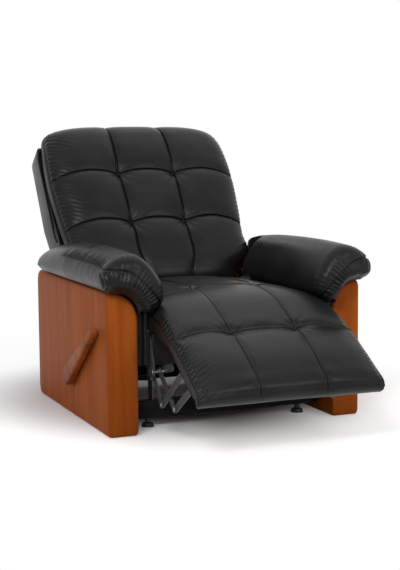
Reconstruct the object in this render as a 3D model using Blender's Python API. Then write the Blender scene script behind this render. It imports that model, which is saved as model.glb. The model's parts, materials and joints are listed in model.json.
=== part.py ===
"""A recliner chair with wooden side panels, partly reclined, in metres with +Z up.

The front faces -Y. Places are written in the chair's own frame, centred on the side panels.
The empty root_axis moves that frame so that the origin lies under the middle of the whole chair.
"""

import math

import bmesh
import bpy
from mathutils import Matrix, Vector

# Gaps and hardware
GAP = 0.0003
OVERRUN = 0.02
PIN_RADIUS = 0.004
PIN_CLEARANCE = 0.0006
HEAD_RADIUS = 0.0075
HEAD_HEIGHT = 0.0012
STRAP = 0.004
LINK_HALF_WIDTH = 0.012
CIRCLE_POINTS = 16
PIN_SIDES = 12

# Side panels
OVERALL_WIDTH = 0.904
PANEL_THICKNESS = 0.101
PANEL_DEPTH = 0.847
PANEL_HEIGHT = 0.470
PANEL_CENTRE_Y = 0.0456
PANEL_TOP_ROUND = 0.085
PANEL_EDGE_ROUND = 0.010
PANEL_BACK_TOP_CORNER = 0.038
PANEL_BACK_BOTTOM_CORNER = 0.025
PANEL_FRONT_TOP_CORNER = 0.022
PANEL_FRONT_BOTTOM_CORNER = 0.014
PANEL_ARC_DEGREES = (90, 75, 60, 45, 30, 16, 6, 0)
PANEL_OUTER = OVERALL_WIDTH / 2
PANEL_INNER = PANEL_OUTER - PANEL_THICKNESS

# Arm pads, measured from the panels that carry them
ARM_INWARD = 0.080
ARM_OVERHANG = 0.032
ARM_LAP = 0.067
ARM_RISE = 0.132
ARM_INNER = PANEL_INNER - ARM_INWARD
ARM_OUTER = PANEL_OUTER + ARM_OVERHANG
ARM_LOW = PANEL_HEIGHT - ARM_LAP
ARM_HIGH = PANEL_HEIGHT + ARM_RISE
ARM_FRONT = -0.486
ARM_REAR = 0.335
ARM_CAP_LENGTH = 0.050
ARM_NOTCH_START = 0.095
ARM_NOTCH_END = 0.165
ARM_NOTCH_WIDENING = 0.022
ARM_NOTCH_INNER = PANEL_INNER + ARM_NOTCH_WIDENING
ARM_NOTCH_STEPS = 6
# Over the top from the outer lip to the inner lip, as shares of the pad's width and height
ARM_SECTION_SHARES = (
    (0.85, 0.40), (0.94, 0.44), (0.99, 0.53), (1.00, 0.62), (0.97, 0.72), (0.89, 0.83),
    (0.77, 0.92), (0.62, 0.985), (0.47, 1.0), (0.31, 0.90), (0.16, 0.72), (0.055, 0.53),
    (0.0, 0.34), (0.0, 0.20), (0.06, 0.09), (0.15, 0.02), (0.27, 0.0), (0.345, 0.02),
)
# How the pad's top falls towards the rear, as shares of its length and of its height
ARM_CREST_SHARES = ((0.0, 0.95), (0.25, 0.985), (0.5, 0.98), (0.72, 0.94), (0.88, 0.87), (1.0, 0.78))
ARM_END_SHARE = 0.52
ARM_LIP_CLEARANCE = 0.002

# Hinge lines, as places along Y and Z
KNEE = (-0.570, 0.338)
BACK_PIVOT = (0.230, 0.400)
HANDLE_AXIS = (-0.027, 0.139)
LINK_A = (-0.389, 0.203)
LINK_B = (-0.467, 0.107)
LINK_D = (-0.425, 0.208)
LINK_E = (-0.552, 0.1075)
LINK_G = (-0.700, 0.205)

# Seat
SEAT_CLEARANCE = 0.041
SEAT_HALF_WIDTH = PANEL_INNER - SEAT_CLEARANCE
SEAT_REAR = 0.153
SEAT_FRONT = -0.546
SEAT_BOTTOM = 0.3452
SEAT_THICKNESS = 0.121
SEAT_ROW_Y = -0.296
CHANNEL_X = 0.110
CHANNEL_WIDTH = 0.014
CHANNEL_DEPTH = 0.012
CHANNEL_SHARE = 0.05
KNEE_RADIUS = 0.040
KNEE_CHANNEL_RADIUS = 0.035
KNEE_END_RADIUS = 0.030
SIDE_BULGE = 0.004
SIDE_TUCK = 0.008
SEAT_FULLNESS_SHARE = 1.9
SEAT_TOP_SHARES = (
    (0.0, 0.70), (0.05, 0.80), (0.15, 0.92), (0.35, 1.0),
    (0.65, 0.99), (0.80, 0.86), (0.92, 0.58), (1.0, 0.34),
)
SEAT_SEAM_SHARES = ((0.0, 0.34), (0.78, 0.36), (0.90, 0.28), (1.0, 0.14))
SEAT_UNDER_SHARES = ((0.0, 0.0), (0.84, 0.0), (1.0, -0.22))

# Footrest, in the pad's own frame: along it from the knee, and up from its board
FOOT_ORIGIN = (-0.582, 0.304)
FOOT_SLOPE = math.degrees(math.atan2(0.527, 0.850))
FOOT_START = 0.006
FOOT_LENGTH = 0.276
FOOT_CROWN = 0.083
FOOT_HALF_WIDTH = SEAT_HALF_WIDTH
BOARD_THICKNESS = 0.012
BOARD_INSET = 0.018
BOARD_HALF_WIDTH = FOOT_HALF_WIDTH - BOARD_INSET
BOARD_START = 0.034
BOARD_END = 0.252
BRACKET_START = 0.062
BRACKET_END = 0.190
BRACKET_DROP = 0.037
FLANGE_WIDTH = 0.026
FLANGE_THICKNESS = 0.003
SLOT_BACK = 0.0115
SLOT_AHEAD = 0.0025
SLOT_HALF_WIDTH = 0.0068
SLOT_HEAD_RADIUS = 0.0095
FOOT_FULLNESS_SHARE = 4.0
FOOT_TIP_SHARES = (0.905, 0.935)
FOOT_TOP_SHARES = (
    (0.0, 0.60), (0.10, 0.80), (0.28, 0.97), (0.5, 1.0),
    (0.70, 0.94), (0.86, 0.80), (0.955, 0.58), (1.0, 0.38),
)
FOOT_SEAM_SHARES = ((0.0, 0.46), (0.70, 0.50), (0.86, 0.45), (1.0, 0.27))
FOOT_UNDER_SHARES = ((0.0, 0.148), (0.905, 0.148), (0.935, 0.0), (0.97, 0.01), (1.0, 0.12))
FOOT_WIDTH_SHARES = ((0.0, 1.0), (0.86, 1.0), (0.955, 0.985), (1.0, 0.955))

# Back, in its own frame: up along the back, and forward from the pivot's plane
BACK_LEAN = 36.0
BACK_OVERHANG = 0.009
BACK_HALF_WIDTH = PANEL_INNER + BACK_OVERHANG
BACK_START = -0.010
BACK_END = 0.742
BACK_ROWS = (0.2533, 0.4735)
BACK_CROWN = 0.082
BACK_SEAM = 0.016
BACK_FLAT = -0.048
BACK_DROOP = 0.022
BACK_TUFT_DEPTH = 0.016
BACK_FULLNESS_SHARE = 4.0
BACK_TOP_SHARES = (
    (0.0, 0.66), (0.03, 0.88), (0.075, 1.0), (0.55, 1.0),
    (0.80, 0.98), (0.89, 0.82), (0.95, 0.42), (1.0, -0.25),
)
BACK_SEAM_SHARES = ((0.0, 0.25), (0.08, 1.0), (0.86, 1.0), (0.95, 0.0), (1.0, -1.9))
BACK_WIDTH_SHARES = (
    (0.0, 0.794), (0.055, 0.794), (0.13, 0.957), (0.30, 0.972), (0.42, 1.0), (0.86, 1.0), (1.0, 0.97),
)
SHELL_OVERHANG = 0.019
SHELL_HALF_WIDTH = PANEL_INNER + SHELL_OVERHANG
SHELL_LOW_CLEARANCE = 0.008
SHELL_LOW_HALF_WIDTH = PANEL_INNER - SHELL_LOW_CLEARANCE
SHELL_STEP = 0.215
SHELL_START = 0.012
SHELL_END = 0.690
SHELL_DEPTH_LOW = 0.145
SHELL_DEPTH_TOP = 0.115
SHELL_CORNER = 0.020
SHELL_WALL = 0.012
SHELL_DROOP = 0.028
SHELL_STEP_LENGTH = 0.012
FRAME_STILE = 0.061
FRAME_OPENING_HALF_WIDTH = SHELL_LOW_HALF_WIDTH - SHELL_WALL - FRAME_STILE
FRAME_THICKNESS = 0.018
FRAME_START = 0.042
FRAME_END = 0.610
FRAME_OPENING_START = 0.120
FRAME_OPENING_END = 0.540
BACK_BRACKET_TOP = 0.200
BACK_BRACKET_WIDTH = 0.026
BACK_BRACKET_EAR = 0.020

# Seat frame and floor rails
MECHANISM_INSET = 0.047
MECHANISM_X = PANEL_INNER - MECHANISM_INSET
MECHANISM_THICKNESS = 0.003
RAIL_TOP = 0.341
RAIL_DEPTH = 0.055
SIDE_RAIL_FRONT = -0.390
SIDE_RAIL_REAR = 0.170
REAR_SEAT_RAIL_Y = 0.130
REAR_SEAT_RAIL_THICKNESS = 0.035
FRONT_BOARD_Y = -0.410
FRONT_BOARD_THICKNESS = 0.020
FRONT_BOARD_BOTTOM = 0.2265
FLOOR_RAIL_BOTTOM = 0.030
FLOOR_RAIL_TOP = 0.090
REAR_FLOOR_BOARD_TOP = 0.215
FLOOR_RAIL_THICKNESS = 0.032
FRONT_FLOOR_RAIL_Y = -0.297
REAR_FLOOR_RAIL_Y = 0.360
RAIL_EDGE = 0.003
GLIDE_INSET = 0.074
GLIDE_X = PANEL_INNER - GLIDE_INSET
GLIDE_RADIUS = 0.022
GLIDE_NECK_RADIUS = 0.009
GLIDE_FOOT_HEIGHT = 0.012

# Springs
SEAT_SPRING_X_SHARES = (-0.72, -0.25, 0.25, 0.72)
BACK_SPRING_SHARES = (0.22, 0.50, 0.78)
SPRING_RADIUS = 0.0018
SPRING_SWING = 0.026
SPRING_PITCH = 0.062
SPRING_BEND_SHARES = ((0.14, 0.9), (0.36, 0.9))

# Handle and drive
ROSETTE_RADIUS = 0.035
ROSETTE_THICKNESS = 0.006
HUB_RADIUS = 0.031
LEVER_TIP = (-0.326, 0.333)
LEVER_TIP_RADIUS = 0.012
LEVER_THICKNESS = 0.024
LEVER_EDGE = 0.005
SHAFT_RADIUS = 0.006
CRANK_LENGTH = 0.045
CRANK_SLOPE = 39.0
DRIVE_HALF_WIDTH = 0.009
LUG_HALF_WIDTH = 0.009

# Layers of the linkage, as distances from the middle of the chair
LAYER_STEP = 0.006
LAYER_UPPER_REAR = MECHANISM_X - 2 * LAYER_STEP
LAYER_UPPER_FRONT = LAYER_UPPER_REAR - LAYER_STEP
LAYER_DRIVE = LAYER_UPPER_FRONT
LAYER_LOWER_REAR = LAYER_UPPER_FRONT - LAYER_STEP
LAYER_LOWER_FRONT = LAYER_LOWER_REAR - LAYER_STEP
LAYER_ARM = LAYER_LOWER_FRONT - 2 * LAYER_STEP
LAYER_BACK_BRACKET = MECHANISM_X - 0.75 * LAYER_STEP
SHAFT_END = LAYER_UPPER_REAR - STRAP / 2

# Support arm and mechanism plate outlines
ARM_TIP = (-0.488, 0.229)
ARM_ELBOW = (-0.290, 0.182)
ARM_FOOT_WIDTH = 0.050
SUPPORT_HALF_WIDTH = 0.013
PLATE_EAR_RADIUS = 0.024
PLATE_LOBE_RADIUS = 0.0165
PLATE_TOP = 0.330
PLATE_BOTTOM = 0.262

SMOOTH_ANGLE = 35.0

for leftover in list(bpy.data.objects):
    bpy.data.objects.remove(leftover)

CHAIR = bpy.data.collections.new("recliner_chair")
CUTTERS = bpy.data.collections.new("cutters")
for collection in (CHAIR, CUTTERS):
    bpy.context.scene.collection.children.link(collection)
CUTTERS.hide_render = True

SIDES = (("left", -1), ("right", 1))


def finish(name, hex_colour, roughness, metallic=0.0):
    """A Principled material from an sRGB hex colour."""
    def linear(pair):
        value = int(pair, 16) / 255
        return value / 12.92 if value <= 0.04045 else ((value + 0.055) / 1.055) ** 2.4

    material = bpy.data.materials.new(name)
    material.use_nodes = True
    shader = material.node_tree.nodes["Principled BSDF"]
    rgb = [linear(hex_colour[i:i + 2]) for i in (1, 3, 5)]
    shader.inputs["Base Color"].default_value = (*rgb, 1)
    shader.inputs["Roughness"].default_value = roughness
    shader.inputs["Metallic"].default_value = metallic
    material.diffuse_color = (*rgb, 1)
    return material


FINISHES = {
    "leather": ("#262626", 0.42, 0.0),
    "cherry": ("#8A4A26", 0.35, 0.0),
    "lever": ("#7C4A2C", 0.35, 0.0),
    "pine": ("#B98F5E", 0.60, 0.0),
    "black": ("#1A1816", 0.45, 0.0),
    "steel": ("#2B2B2D", 0.40, 0.8),
    "zinc": ("#B9BBBD", 0.30, 1.0),
    "rubber": ("#161616", 0.80, 0.0),
}

EMPTIES = {}
PIVOTS = {}


def body(name, place, parent=None):
    """An empty on a joint's axis, which carries the pieces that turn about it."""
    empty = bpy.data.objects.new(name + "_axis", None)
    CHAIR.objects.link(empty)
    PIVOTS[name] = Vector((0, *place))
    EMPTIES[name] = empty
    empty.location = PIVOTS[name] - (PIVOTS[parent] if parent else Vector((0, -PANEL_CENTRE_Y, 0)))
    if parent:
        empty.parent = EMPTIES[parent]


def add_part(name, mesh, carrier, look):
    """Makes a bmesh in the chair's frame into an object carried by one body."""
    bmesh.ops.remove_doubles(mesh, verts=mesh.verts, dist=GAP / 100)
    bmesh.ops.recalc_face_normals(mesh, faces=mesh.faces)
    mesh.transform(Matrix.Translation(-PIVOTS[carrier]))
    data = bpy.data.meshes.new(name)
    mesh.to_mesh(data)
    mesh.free()
    data.materials.append(finish(name + "_" + look, *FINISHES[look]))
    data.shade_smooth()
    data.set_sharp_from_angle(angle=math.radians(SMOOTH_ANGLE))
    part = bpy.data.objects.new(name, data)
    part.parent = EMPTIES[carrier]
    part["carrier"] = carrier
    CHAIR.objects.link(part)
    return part


def cutter(mesh, target):
    """Makes a bmesh in the chair's frame into a hidden tool with the target's origin."""
    bmesh.ops.recalc_face_normals(mesh, faces=mesh.faces)
    tool = add_part(target.name + "_tool", mesh, target["carrier"], "steel")
    CHAIR.objects.unlink(tool)
    CUTTERS.objects.link(tool)
    tool.hide_render = True
    tool.display_type = "WIRE"
    return tool


def combine(target, mesh, operation):
    """Cuts a bmesh from the target or joins it to the target."""
    modifier = target.modifiers.new(operation.lower(), "BOOLEAN")
    modifier.solver = "EXACT"
    modifier.operation = operation
    modifier.object = cutter(mesh, target)


def read_table(shares, share):
    """A smooth value from a table of (place, value) shares."""
    if share <= shares[0][0]:
        return shares[0][1]
    slopes = [(b[1] - a[1]) / (b[0] - a[0]) for a, b in zip(shares, shares[1:])]
    inner = [2 * a * b / (a + b) if a * b > 0 else 0.0 for a, b in zip(slopes, slopes[1:])]
    ends = [slopes[0], *inner, slopes[-1]]
    for i, (a, b) in enumerate(zip(shares, shares[1:])):
        if share <= b[0]:
            length = b[0] - a[0]
            t = (share - a[0]) / length
            start = (1 + 2 * t) * (1 - t) ** 2 * a[1] + t * (1 - t) ** 2 * length * ends[i]
            return start + t * t * (3 - 2 * t) * b[1] + t * t * (t - 1) * length * ends[i + 1]
    return shares[-1][1]


def ease(value, start, end):
    """A smooth step from zero at start to one at end."""
    t = min(max((value - start) / (end - start), 0.0), 1.0)
    return t * t * (3 - 2 * t)


def groove(value, seams, width):
    """One on a seam, falling to zero beside it."""
    return max((math.exp(-((value - seam) / width) ** 2) for seam in seams), default=0.0)


def stations(marks, width, inner):
    """Places along a line: each mark, one beside it on each side, and some between."""
    places = []
    for start, end in zip(marks, marks[1:]):
        places.append(start)
        near, far = start + width, end - width
        places += [near + (far - near) * i / (inner + 1) for i in range(inner + 2)]
    return places + [marks[-1]]


def loft(rings):
    """A closed body through rings of equal counts, with its end rings filled."""
    mesh = bmesh.new()
    rows = [[mesh.verts.new(point) for point in ring] for ring in rings]
    for near, far in zip(rows, rows[1:]):
        for i in range(len(near)):
            j = (i + 1) % len(near)
            mesh.faces.new((near[i], near[j], far[j], far[i]))
    mesh.faces.new(rows[0])
    mesh.faces.new(rows[-1])
    bmesh.ops.recalc_face_normals(mesh, faces=mesh.faces)
    return mesh


def circle(centre, radius, points=CIRCLE_POINTS):
    turns = [2 * math.pi * i / points for i in range(points)]
    return [(centre[0] + radius * math.cos(t), centre[1] + radius * math.sin(t)) for t in turns]


def capsule(a, b, radius_a, radius_b, points=8):
    """An outline round two circles and the straight sides between them."""
    a, b = Vector(a), Vector(b)
    along = math.atan2(*(b - a).yx)
    lean = math.acos((radius_a - radius_b) / (b - a).length)
    outline = []
    for centre, radius, start, end in (
        (b, radius_b, along - lean, along + lean),
        (a, radius_a, along + lean, along + 2 * math.pi - lean),
    ):
        for i in range(points + 1):
            turn = start + (end - start) * i / points
            outline.append((centre.x + radius * math.cos(turn), centre.y + radius * math.sin(turn)))
    return outline


def rounded(points, radii, steps=4):
    """A polygon with each corner replaced by an arc of its own radius."""
    outline = []
    for i, (corner, radius) in enumerate(zip(points, radii)):
        corner = Vector(corner)
        back = (Vector(points[i - 1]) - corner).normalized()
        ahead = (Vector(points[(i + 1) % len(points)]) - corner).normalized()
        half = back.angle(ahead) / 2
        centre = corner + (back + ahead).normalized() * (radius / math.sin(half))
        start = corner + back * (radius / math.tan(half)) - centre
        end = corner + ahead * (radius / math.tan(half)) - centre
        sweep = start.angle_signed(end)
        for step in range(steps + 1):
            turn = Matrix.Rotation(-sweep * step / steps, 2)
            outline.append(tuple(centre + turn @ start))
    return outline


def plate(outline, x, thickness, holes=(), edge=0.0):
    """A flat plate across X, cut from a filled 2D curve of its (y, z) outline and holes."""
    curve = bpy.data.curves.new("outline", "CURVE")
    curve.dimensions = "2D"
    curve.fill_mode = "BOTH"
    curve.extrude = thickness / 2 - edge
    curve.bevel_depth = edge
    curve.bevel_resolution = 2
    curve.offset = -edge
    for points in (outline, *holes):
        spline = curve.splines.new("POLY")
        spline.points.add(len(points) - 1)
        for point, (y, z) in zip(spline.points, points):
            point.co = (y, z, 0, 1)
        spline.use_cyclic_u = True
    return curve_mesh(curve, Matrix(((0, 0, 1, x), (1, 0, 0, 0), (0, 1, 0, 0), (0, 0, 0, 1))))


def tube(points, radius):
    """A wire along points, with filled ends."""
    curve = bpy.data.curves.new("wire", "CURVE")
    curve.dimensions = "3D"
    curve.bevel_depth = radius
    curve.bevel_resolution = 1
    curve.use_fill_caps = True
    spline = curve.splines.new("POLY")
    spline.points.add(len(points) - 1)
    for point, place in zip(spline.points, points):
        point.co = (*place, 1)
    return curve_mesh(curve, Matrix())


def curve_mesh(curve, matrix):
    """The closed mesh of a curve, moved by a matrix, with the curve removed."""
    guide = bpy.data.objects.new("guide", curve)
    CUTTERS.objects.link(guide)
    graph = bpy.context.evaluated_depsgraph_get()
    data = bpy.data.meshes.new_from_object(guide.evaluated_get(graph))
    mesh = bmesh.new()
    mesh.from_mesh(data)
    mesh.transform(matrix)
    bmesh.ops.remove_doubles(mesh, verts=mesh.verts, dist=GAP / 10)
    bpy.data.objects.remove(guide)
    bpy.data.curves.remove(curve)
    bpy.data.meshes.remove(data)
    bmesh.ops.recalc_face_normals(mesh, faces=mesh.faces)
    return mesh


def box(low, high, edge=0.0):
    """A block between two corners, with its edges eased."""
    mesh = bmesh.new()
    low, high = Vector(low), Vector(high)
    middle = Matrix.Translation((low + high) / 2) @ Matrix.Diagonal((*(high - low), 1))
    bmesh.ops.create_cube(mesh, size=1, matrix=middle)
    if edge:
        bmesh.ops.bevel(mesh, geom=mesh.edges, offset=edge, segments=1, affect="EDGES")
    return mesh


def turned(profile, centre, steps=PIN_SIDES):
    """A body turned about a line along X through centre, from (x, radius) points."""
    mesh = bmesh.new()
    chain = [mesh.verts.new((x, centre[0], centre[1] + radius)) for x, radius in profile]
    edges = [mesh.edges.new(pair) for pair in zip(chain, chain[1:])]
    bmesh.ops.spin(
        mesh, geom=chain + edges, cent=(0, *centre), axis=(1, 0, 0), angle=2 * math.pi,
        steps=steps, use_merge=True,
    )
    bmesh.ops.remove_doubles(mesh, verts=mesh.verts, dist=GAP / 10)
    bmesh.ops.recalc_face_normals(mesh, faces=mesh.faces)
    return mesh


def mirrored(profile, side):
    return [(side * x, radius) for x, radius in profile]


def rivet(side, centre, outer, inner):
    """A rivet with a head at each end, between two distances from the middle."""
    profile = (
        (outer + HEAD_HEIGHT, 0), (outer + HEAD_HEIGHT, HEAD_RADIUS - HEAD_HEIGHT), (outer, HEAD_RADIUS),
        (outer, PIN_RADIUS), (inner, PIN_RADIUS), (inner, HEAD_RADIUS),
        (inner - HEAD_HEIGHT, HEAD_RADIUS - HEAD_HEIGHT), (inner - HEAD_HEIGHT, 0),
    )
    return turned(mirrored(profile, side), centre)


# Places that follow from the driving sizes

LINK_C = (KNEE[0] + LINK_B[0] - LINK_A[0], KNEE[1] + LINK_B[1] - LINK_A[1])
CRANK = Vector((math.cos(math.radians(CRANK_SLOPE)), -math.sin(math.radians(CRANK_SLOPE)))) * CRANK_LENGTH
CRANK_PIN = tuple(Vector(HANDLE_AXIS) + CRANK)
LUG_PIN = tuple(Vector(LINK_A) + CRANK)
HOLE_RADIUS = PIN_RADIUS + PIN_CLEARANCE
SUPPORT_TOP = FLOOR_RAIL_TOP + GAP

FOOT_ALONG = Vector((-math.cos(math.radians(FOOT_SLOPE)), -math.sin(math.radians(FOOT_SLOPE))))
FOOT_UP = Vector((FOOT_ALONG.y, -FOOT_ALONG.x))
BACK_UP = Vector((math.sin(math.radians(BACK_LEAN)), math.cos(math.radians(BACK_LEAN))))
BACK_FORWARD = Vector((-BACK_UP.y, BACK_UP.x))


def foot(t, h):
    """A (y, z) place from a place along the footrest and up from its board."""
    return tuple(Vector(FOOT_ORIGIN) + FOOT_ALONG * t + FOOT_UP * h)


def foot_place(place):
    """The footrest's own coordinates of a (y, z) place."""
    offset = Vector(place) - Vector(FOOT_ORIGIN)
    return offset.dot(FOOT_ALONG), offset.dot(FOOT_UP)


def back(s, c):
    """A (y, z) place from a place up the back and forward of its pivot's plane."""
    return tuple(Vector(BACK_PIVOT) + BACK_UP * s + BACK_FORWARD * c)


def panel_top(x):
    """The height of a side panel's surface at a distance from the middle."""
    across = min(max(PANEL_INNER + PANEL_TOP_ROUND - x, 0.0), PANEL_TOP_ROUND)
    return PANEL_HEIGHT - PANEL_TOP_ROUND + math.sqrt(PANEL_TOP_ROUND ** 2 - across ** 2)


def panel_arc_x(degrees):
    """A place across the rounded top edge, by its turn from the panel's inner face."""
    return PANEL_INNER + PANEL_TOP_ROUND * (1 - math.cos(math.radians(degrees)))


# Side panels

def panel_ring(side, x, inset):
    rear, front = PANEL_DEPTH / 2 - inset, -PANEL_DEPTH / 2 + inset
    low, high = inset, min(panel_top(x), PANEL_HEIGHT - inset)
    corners = ((front, low), (rear, low), (rear, high), (front, high))
    radii = (
        PANEL_FRONT_BOTTOM_CORNER, PANEL_BACK_BOTTOM_CORNER, PANEL_BACK_TOP_CORNER, PANEL_FRONT_TOP_CORNER,
    )
    return [(side * x, y, z) for y, z in rounded(corners, radii)]


def side_panel(name, side):
    rings = []
    for degrees in (0, 30, 60, 90):
        turn = math.radians(degrees)
        x = PANEL_OUTER - PANEL_EDGE_ROUND * (1 - math.sin(turn))
        rings.insert(0, panel_ring(side, x, PANEL_EDGE_ROUND * (1 - math.cos(turn))))
    for degrees in PANEL_ARC_DEGREES:
        x = panel_arc_x(degrees)
        inset = PANEL_EDGE_ROUND - math.sqrt(
            max(PANEL_EDGE_ROUND ** 2 - max(PANEL_EDGE_ROUND - (x - PANEL_INNER), 0.0) ** 2, 0.0)
        )
        rings.append(panel_ring(side, x, inset))
    return add_part(name + "_side_panel", loft(rings), "root", "cherry")


# Arm pads

def arm_ring(side, y):
    length = ARM_REAR - ARM_FRONT
    near_end = min(y - ARM_FRONT, ARM_REAR - y) / ARM_CAP_LENGTH
    puff = math.sqrt(max(1 - (1 - min(near_end, 1.0)) ** 2, 0.0))
    swell = ARM_END_SHARE + (1 - ARM_END_SHARE) * puff
    crest = read_table(ARM_CREST_SHARES, (y - ARM_FRONT) / length)
    middle_x, middle_z = (ARM_INNER + ARM_OUTER) / 2, PANEL_HEIGHT + ARM_CAP_LENGTH / 2
    points = []
    for across, up in ARM_SECTION_SHARES:
        x = ARM_INNER + (ARM_OUTER - ARM_INNER) * across
        z = ARM_LOW + (ARM_HIGH - ARM_LOW) * up * (crest if up > 0.5 else 1.0)
        out = Vector((x - middle_x, z - middle_z))
        points.append((middle_x + out.x * swell, middle_z + out.y * swell))
    ring = [(x, max(z, panel_top(x) + ARM_LIP_CLEARANCE) if x > PANEL_INNER - GAP else z) for x, z in points]
    start, end, step = max(ring[-1][0], PANEL_INNER + GAP), ring[0][0], 4 * GAP
    knots = [panel_arc_x(turn) for turn in reversed(PANEL_ARC_DEGREES)] + [PANEL_OUTER - PANEL_EDGE_ROUND]
    for i, knot in enumerate(knots, 1):
        x = min(max(knot, start + i * step), end - (len(knots) + 1 - i) * step)
        ring.append((x, panel_top(x) + 2 * GAP))
    return [(side * x, y, z) for x, z in ring]


def arm_pad(name, side):
    length = ARM_REAR - ARM_FRONT
    cap = [ARM_CAP_LENGTH * (1 - math.cos(math.radians(turn))) for turn in (0, 22, 42, 62, 90)]
    marks = [ARM_FRONT + step for step in cap]
    marks += [ARM_FRONT + length * share for share in (0.13, 0.25, 0.38, 0.52, 0.66, 0.80)]
    marks += [ARM_REAR - step for step in reversed(cap)]
    rings = [arm_ring(side, y) for y in marks]
    part = add_part(name + "_arm_pad", loft(rings), "root", "leather")
    combine(part, arm_notch(side), "DIFFERENCE")


def arm_notch(side):
    """What the pad leaves free for the back, beside the rear half of the panel."""
    outline = [(ARM_INNER - OVERRUN, ARM_NOTCH_START)]
    for step in range(ARM_NOTCH_STEPS + 1):
        share = step / ARM_NOTCH_STEPS
        y = ARM_NOTCH_START + (ARM_NOTCH_END - ARM_NOTCH_START) * share
        x = ARM_INNER + (ARM_NOTCH_INNER - ARM_INNER) * ease(share, 0, 1)
        outline.append((x, y + GAP * step))
    outline += [(ARM_NOTCH_INNER, ARM_REAR + OVERRUN), (ARM_INNER - OVERRUN, ARM_REAR + OVERRUN)]
    heights = (PANEL_HEIGHT - PANEL_TOP_ROUND - OVERRUN, ARM_HIGH + OVERRUN)
    return loft([[(side * x, y, z) for x, y in outline] for z in heights])


# Cushions

def cushion_ring(half_width, top, seam, under, shares, column_shares, fullness):
    """(x, height) points round a cushion: crowned over the top, boxed and drawn in at the sides."""
    over = []
    for share in shares:
        crown = math.sqrt(max(1 - abs(share) ** fullness, 0.0))
        height = seam + (top - seam) * crown
        height -= CHANNEL_DEPTH * crown * groove(share, column_shares, CHANNEL_SHARE)
        over.append((share * half_width, height))
    side = (seam + under) / 2
    right = [(half_width + SIDE_BULGE, side), (half_width - SIDE_TUCK, under)]
    return over + right + [(-x, z) for x, z in reversed(right)]


def cushion_shares(half_width):
    """Places across a cushion, and its two channels, as shares of its half width."""
    channel = CHANNEL_X / half_width
    marks = (-1.0, -channel, channel, 1.0)
    return stations(marks, 0.06, 2), (-channel, channel)


def seat_cushion():
    shares, columns = cushion_shares(SEAT_HALF_WIDTH)
    length = SEAT_REAR - SEAT_FRONT
    row = (SEAT_REAR - SEAT_ROW_Y) / length
    rings = []
    for share in stations((0.0, row, 1.0), 0.03, 5):
        top, seam, under = (
            SEAT_BOTTOM + SEAT_THICKNESS * read_table(table, share)
            for table in (SEAT_TOP_SHARES, SEAT_SEAM_SHARES, SEAT_UNDER_SHARES)
        )
        pull = groove(share, (row,), 0.03)
        half_width = SEAT_HALF_WIDTH - SIDE_BULGE * pull
        top -= CHANNEL_DEPTH * pull
        ring = cushion_ring(half_width, top, seam, under, shares, columns, SEAT_FULLNESS_SHARE)
        rings.append([(x, SEAT_REAR - length * share, z) for x, z in ring])
    part = add_part("seat_cushion", loft(rings), "root", "leather")
    combine(part, knee_tool(), "DIFFERENCE")


def knee_tool():
    reach = SEAT_HALF_WIDTH + OVERRUN
    radius = (KNEE_RADIUS + GAP) / math.cos(math.pi / 40)
    return turned(((reach, 0), (reach, radius), (-reach, radius), (-reach, 0)), KNEE, 40)


def knee_roll():
    half, channel, step = SEAT_HALF_WIDTH - SIDE_TUCK, CHANNEL_X, CHANNEL_WIDTH
    right = (
        (half, 0), (half, KNEE_END_RADIUS), (half - step / 2, KNEE_RADIUS - step / 4),
        (half - step, KNEE_RADIUS),
        (channel + step, KNEE_RADIUS), (channel, KNEE_CHANNEL_RADIUS), (channel - step, KNEE_RADIUS),
    )
    left = [(-x, radius) for x, radius in reversed(right)]
    add_part("knee_roll", turned((*right, *left), KNEE, 24), "root", "leather")


def footrest_pad():
    shares, columns = cushion_shares(FOOT_HALF_WIDTH)
    rings = []
    for share in sorted((*stations((0.0, 0.5, 1.0), 0.03, 4), *FOOT_TIP_SHARES)):
        top, seam, under = (
            FOOT_CROWN * read_table(table, share)
            for table in (FOOT_TOP_SHARES, FOOT_SEAM_SHARES, FOOT_UNDER_SHARES)
        )
        half_width = FOOT_HALF_WIDTH * read_table(FOOT_WIDTH_SHARES, share)
        ring = cushion_ring(half_width, top, seam, under, shares, columns, FOOT_FULLNESS_SHARE)
        t = FOOT_START + FOOT_LENGTH * share
        rings.append([(x, *foot(t, h)) for x, h in ring])
    part = add_part("footrest_pad", loft(rings), "footrest", "leather")
    combine(part, knee_tool(), "DIFFERENCE")


def back_cushion():
    shares, columns = cushion_shares(BACK_HALF_WIDTH)
    length = BACK_END - BACK_START
    rows = [(row - BACK_START) / length for row in BACK_ROWS]
    rings = []
    for share in stations((0.0, *rows, 1.0), 0.028, 4):
        top = BACK_CROWN * read_table(BACK_TOP_SHARES, share)
        seam = BACK_SEAM * read_table(BACK_SEAM_SHARES, share)
        pull = groove(share, rows, 0.03)
        half_width = BACK_HALF_WIDTH * read_table(BACK_WIDTH_SHARES, share) - SIDE_BULGE * pull
        top -= BACK_TUFT_DEPTH * pull
        ring = cushion_ring(half_width, top, seam, BACK_FLAT, shares, columns, BACK_FULLNESS_SHARE)
        row = []
        for x, c in ring:
            droop = BACK_DROOP * (abs(x) / BACK_HALF_WIDTH) ** 4 * ease(share, 0.62, 1.0)
            row.append((x, *back(BACK_START + length * share - droop, c)))
        rings.append(row)
    add_part("back_cushion", loft(rings), "back", "leather")


# Back shell, frame and brackets

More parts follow.
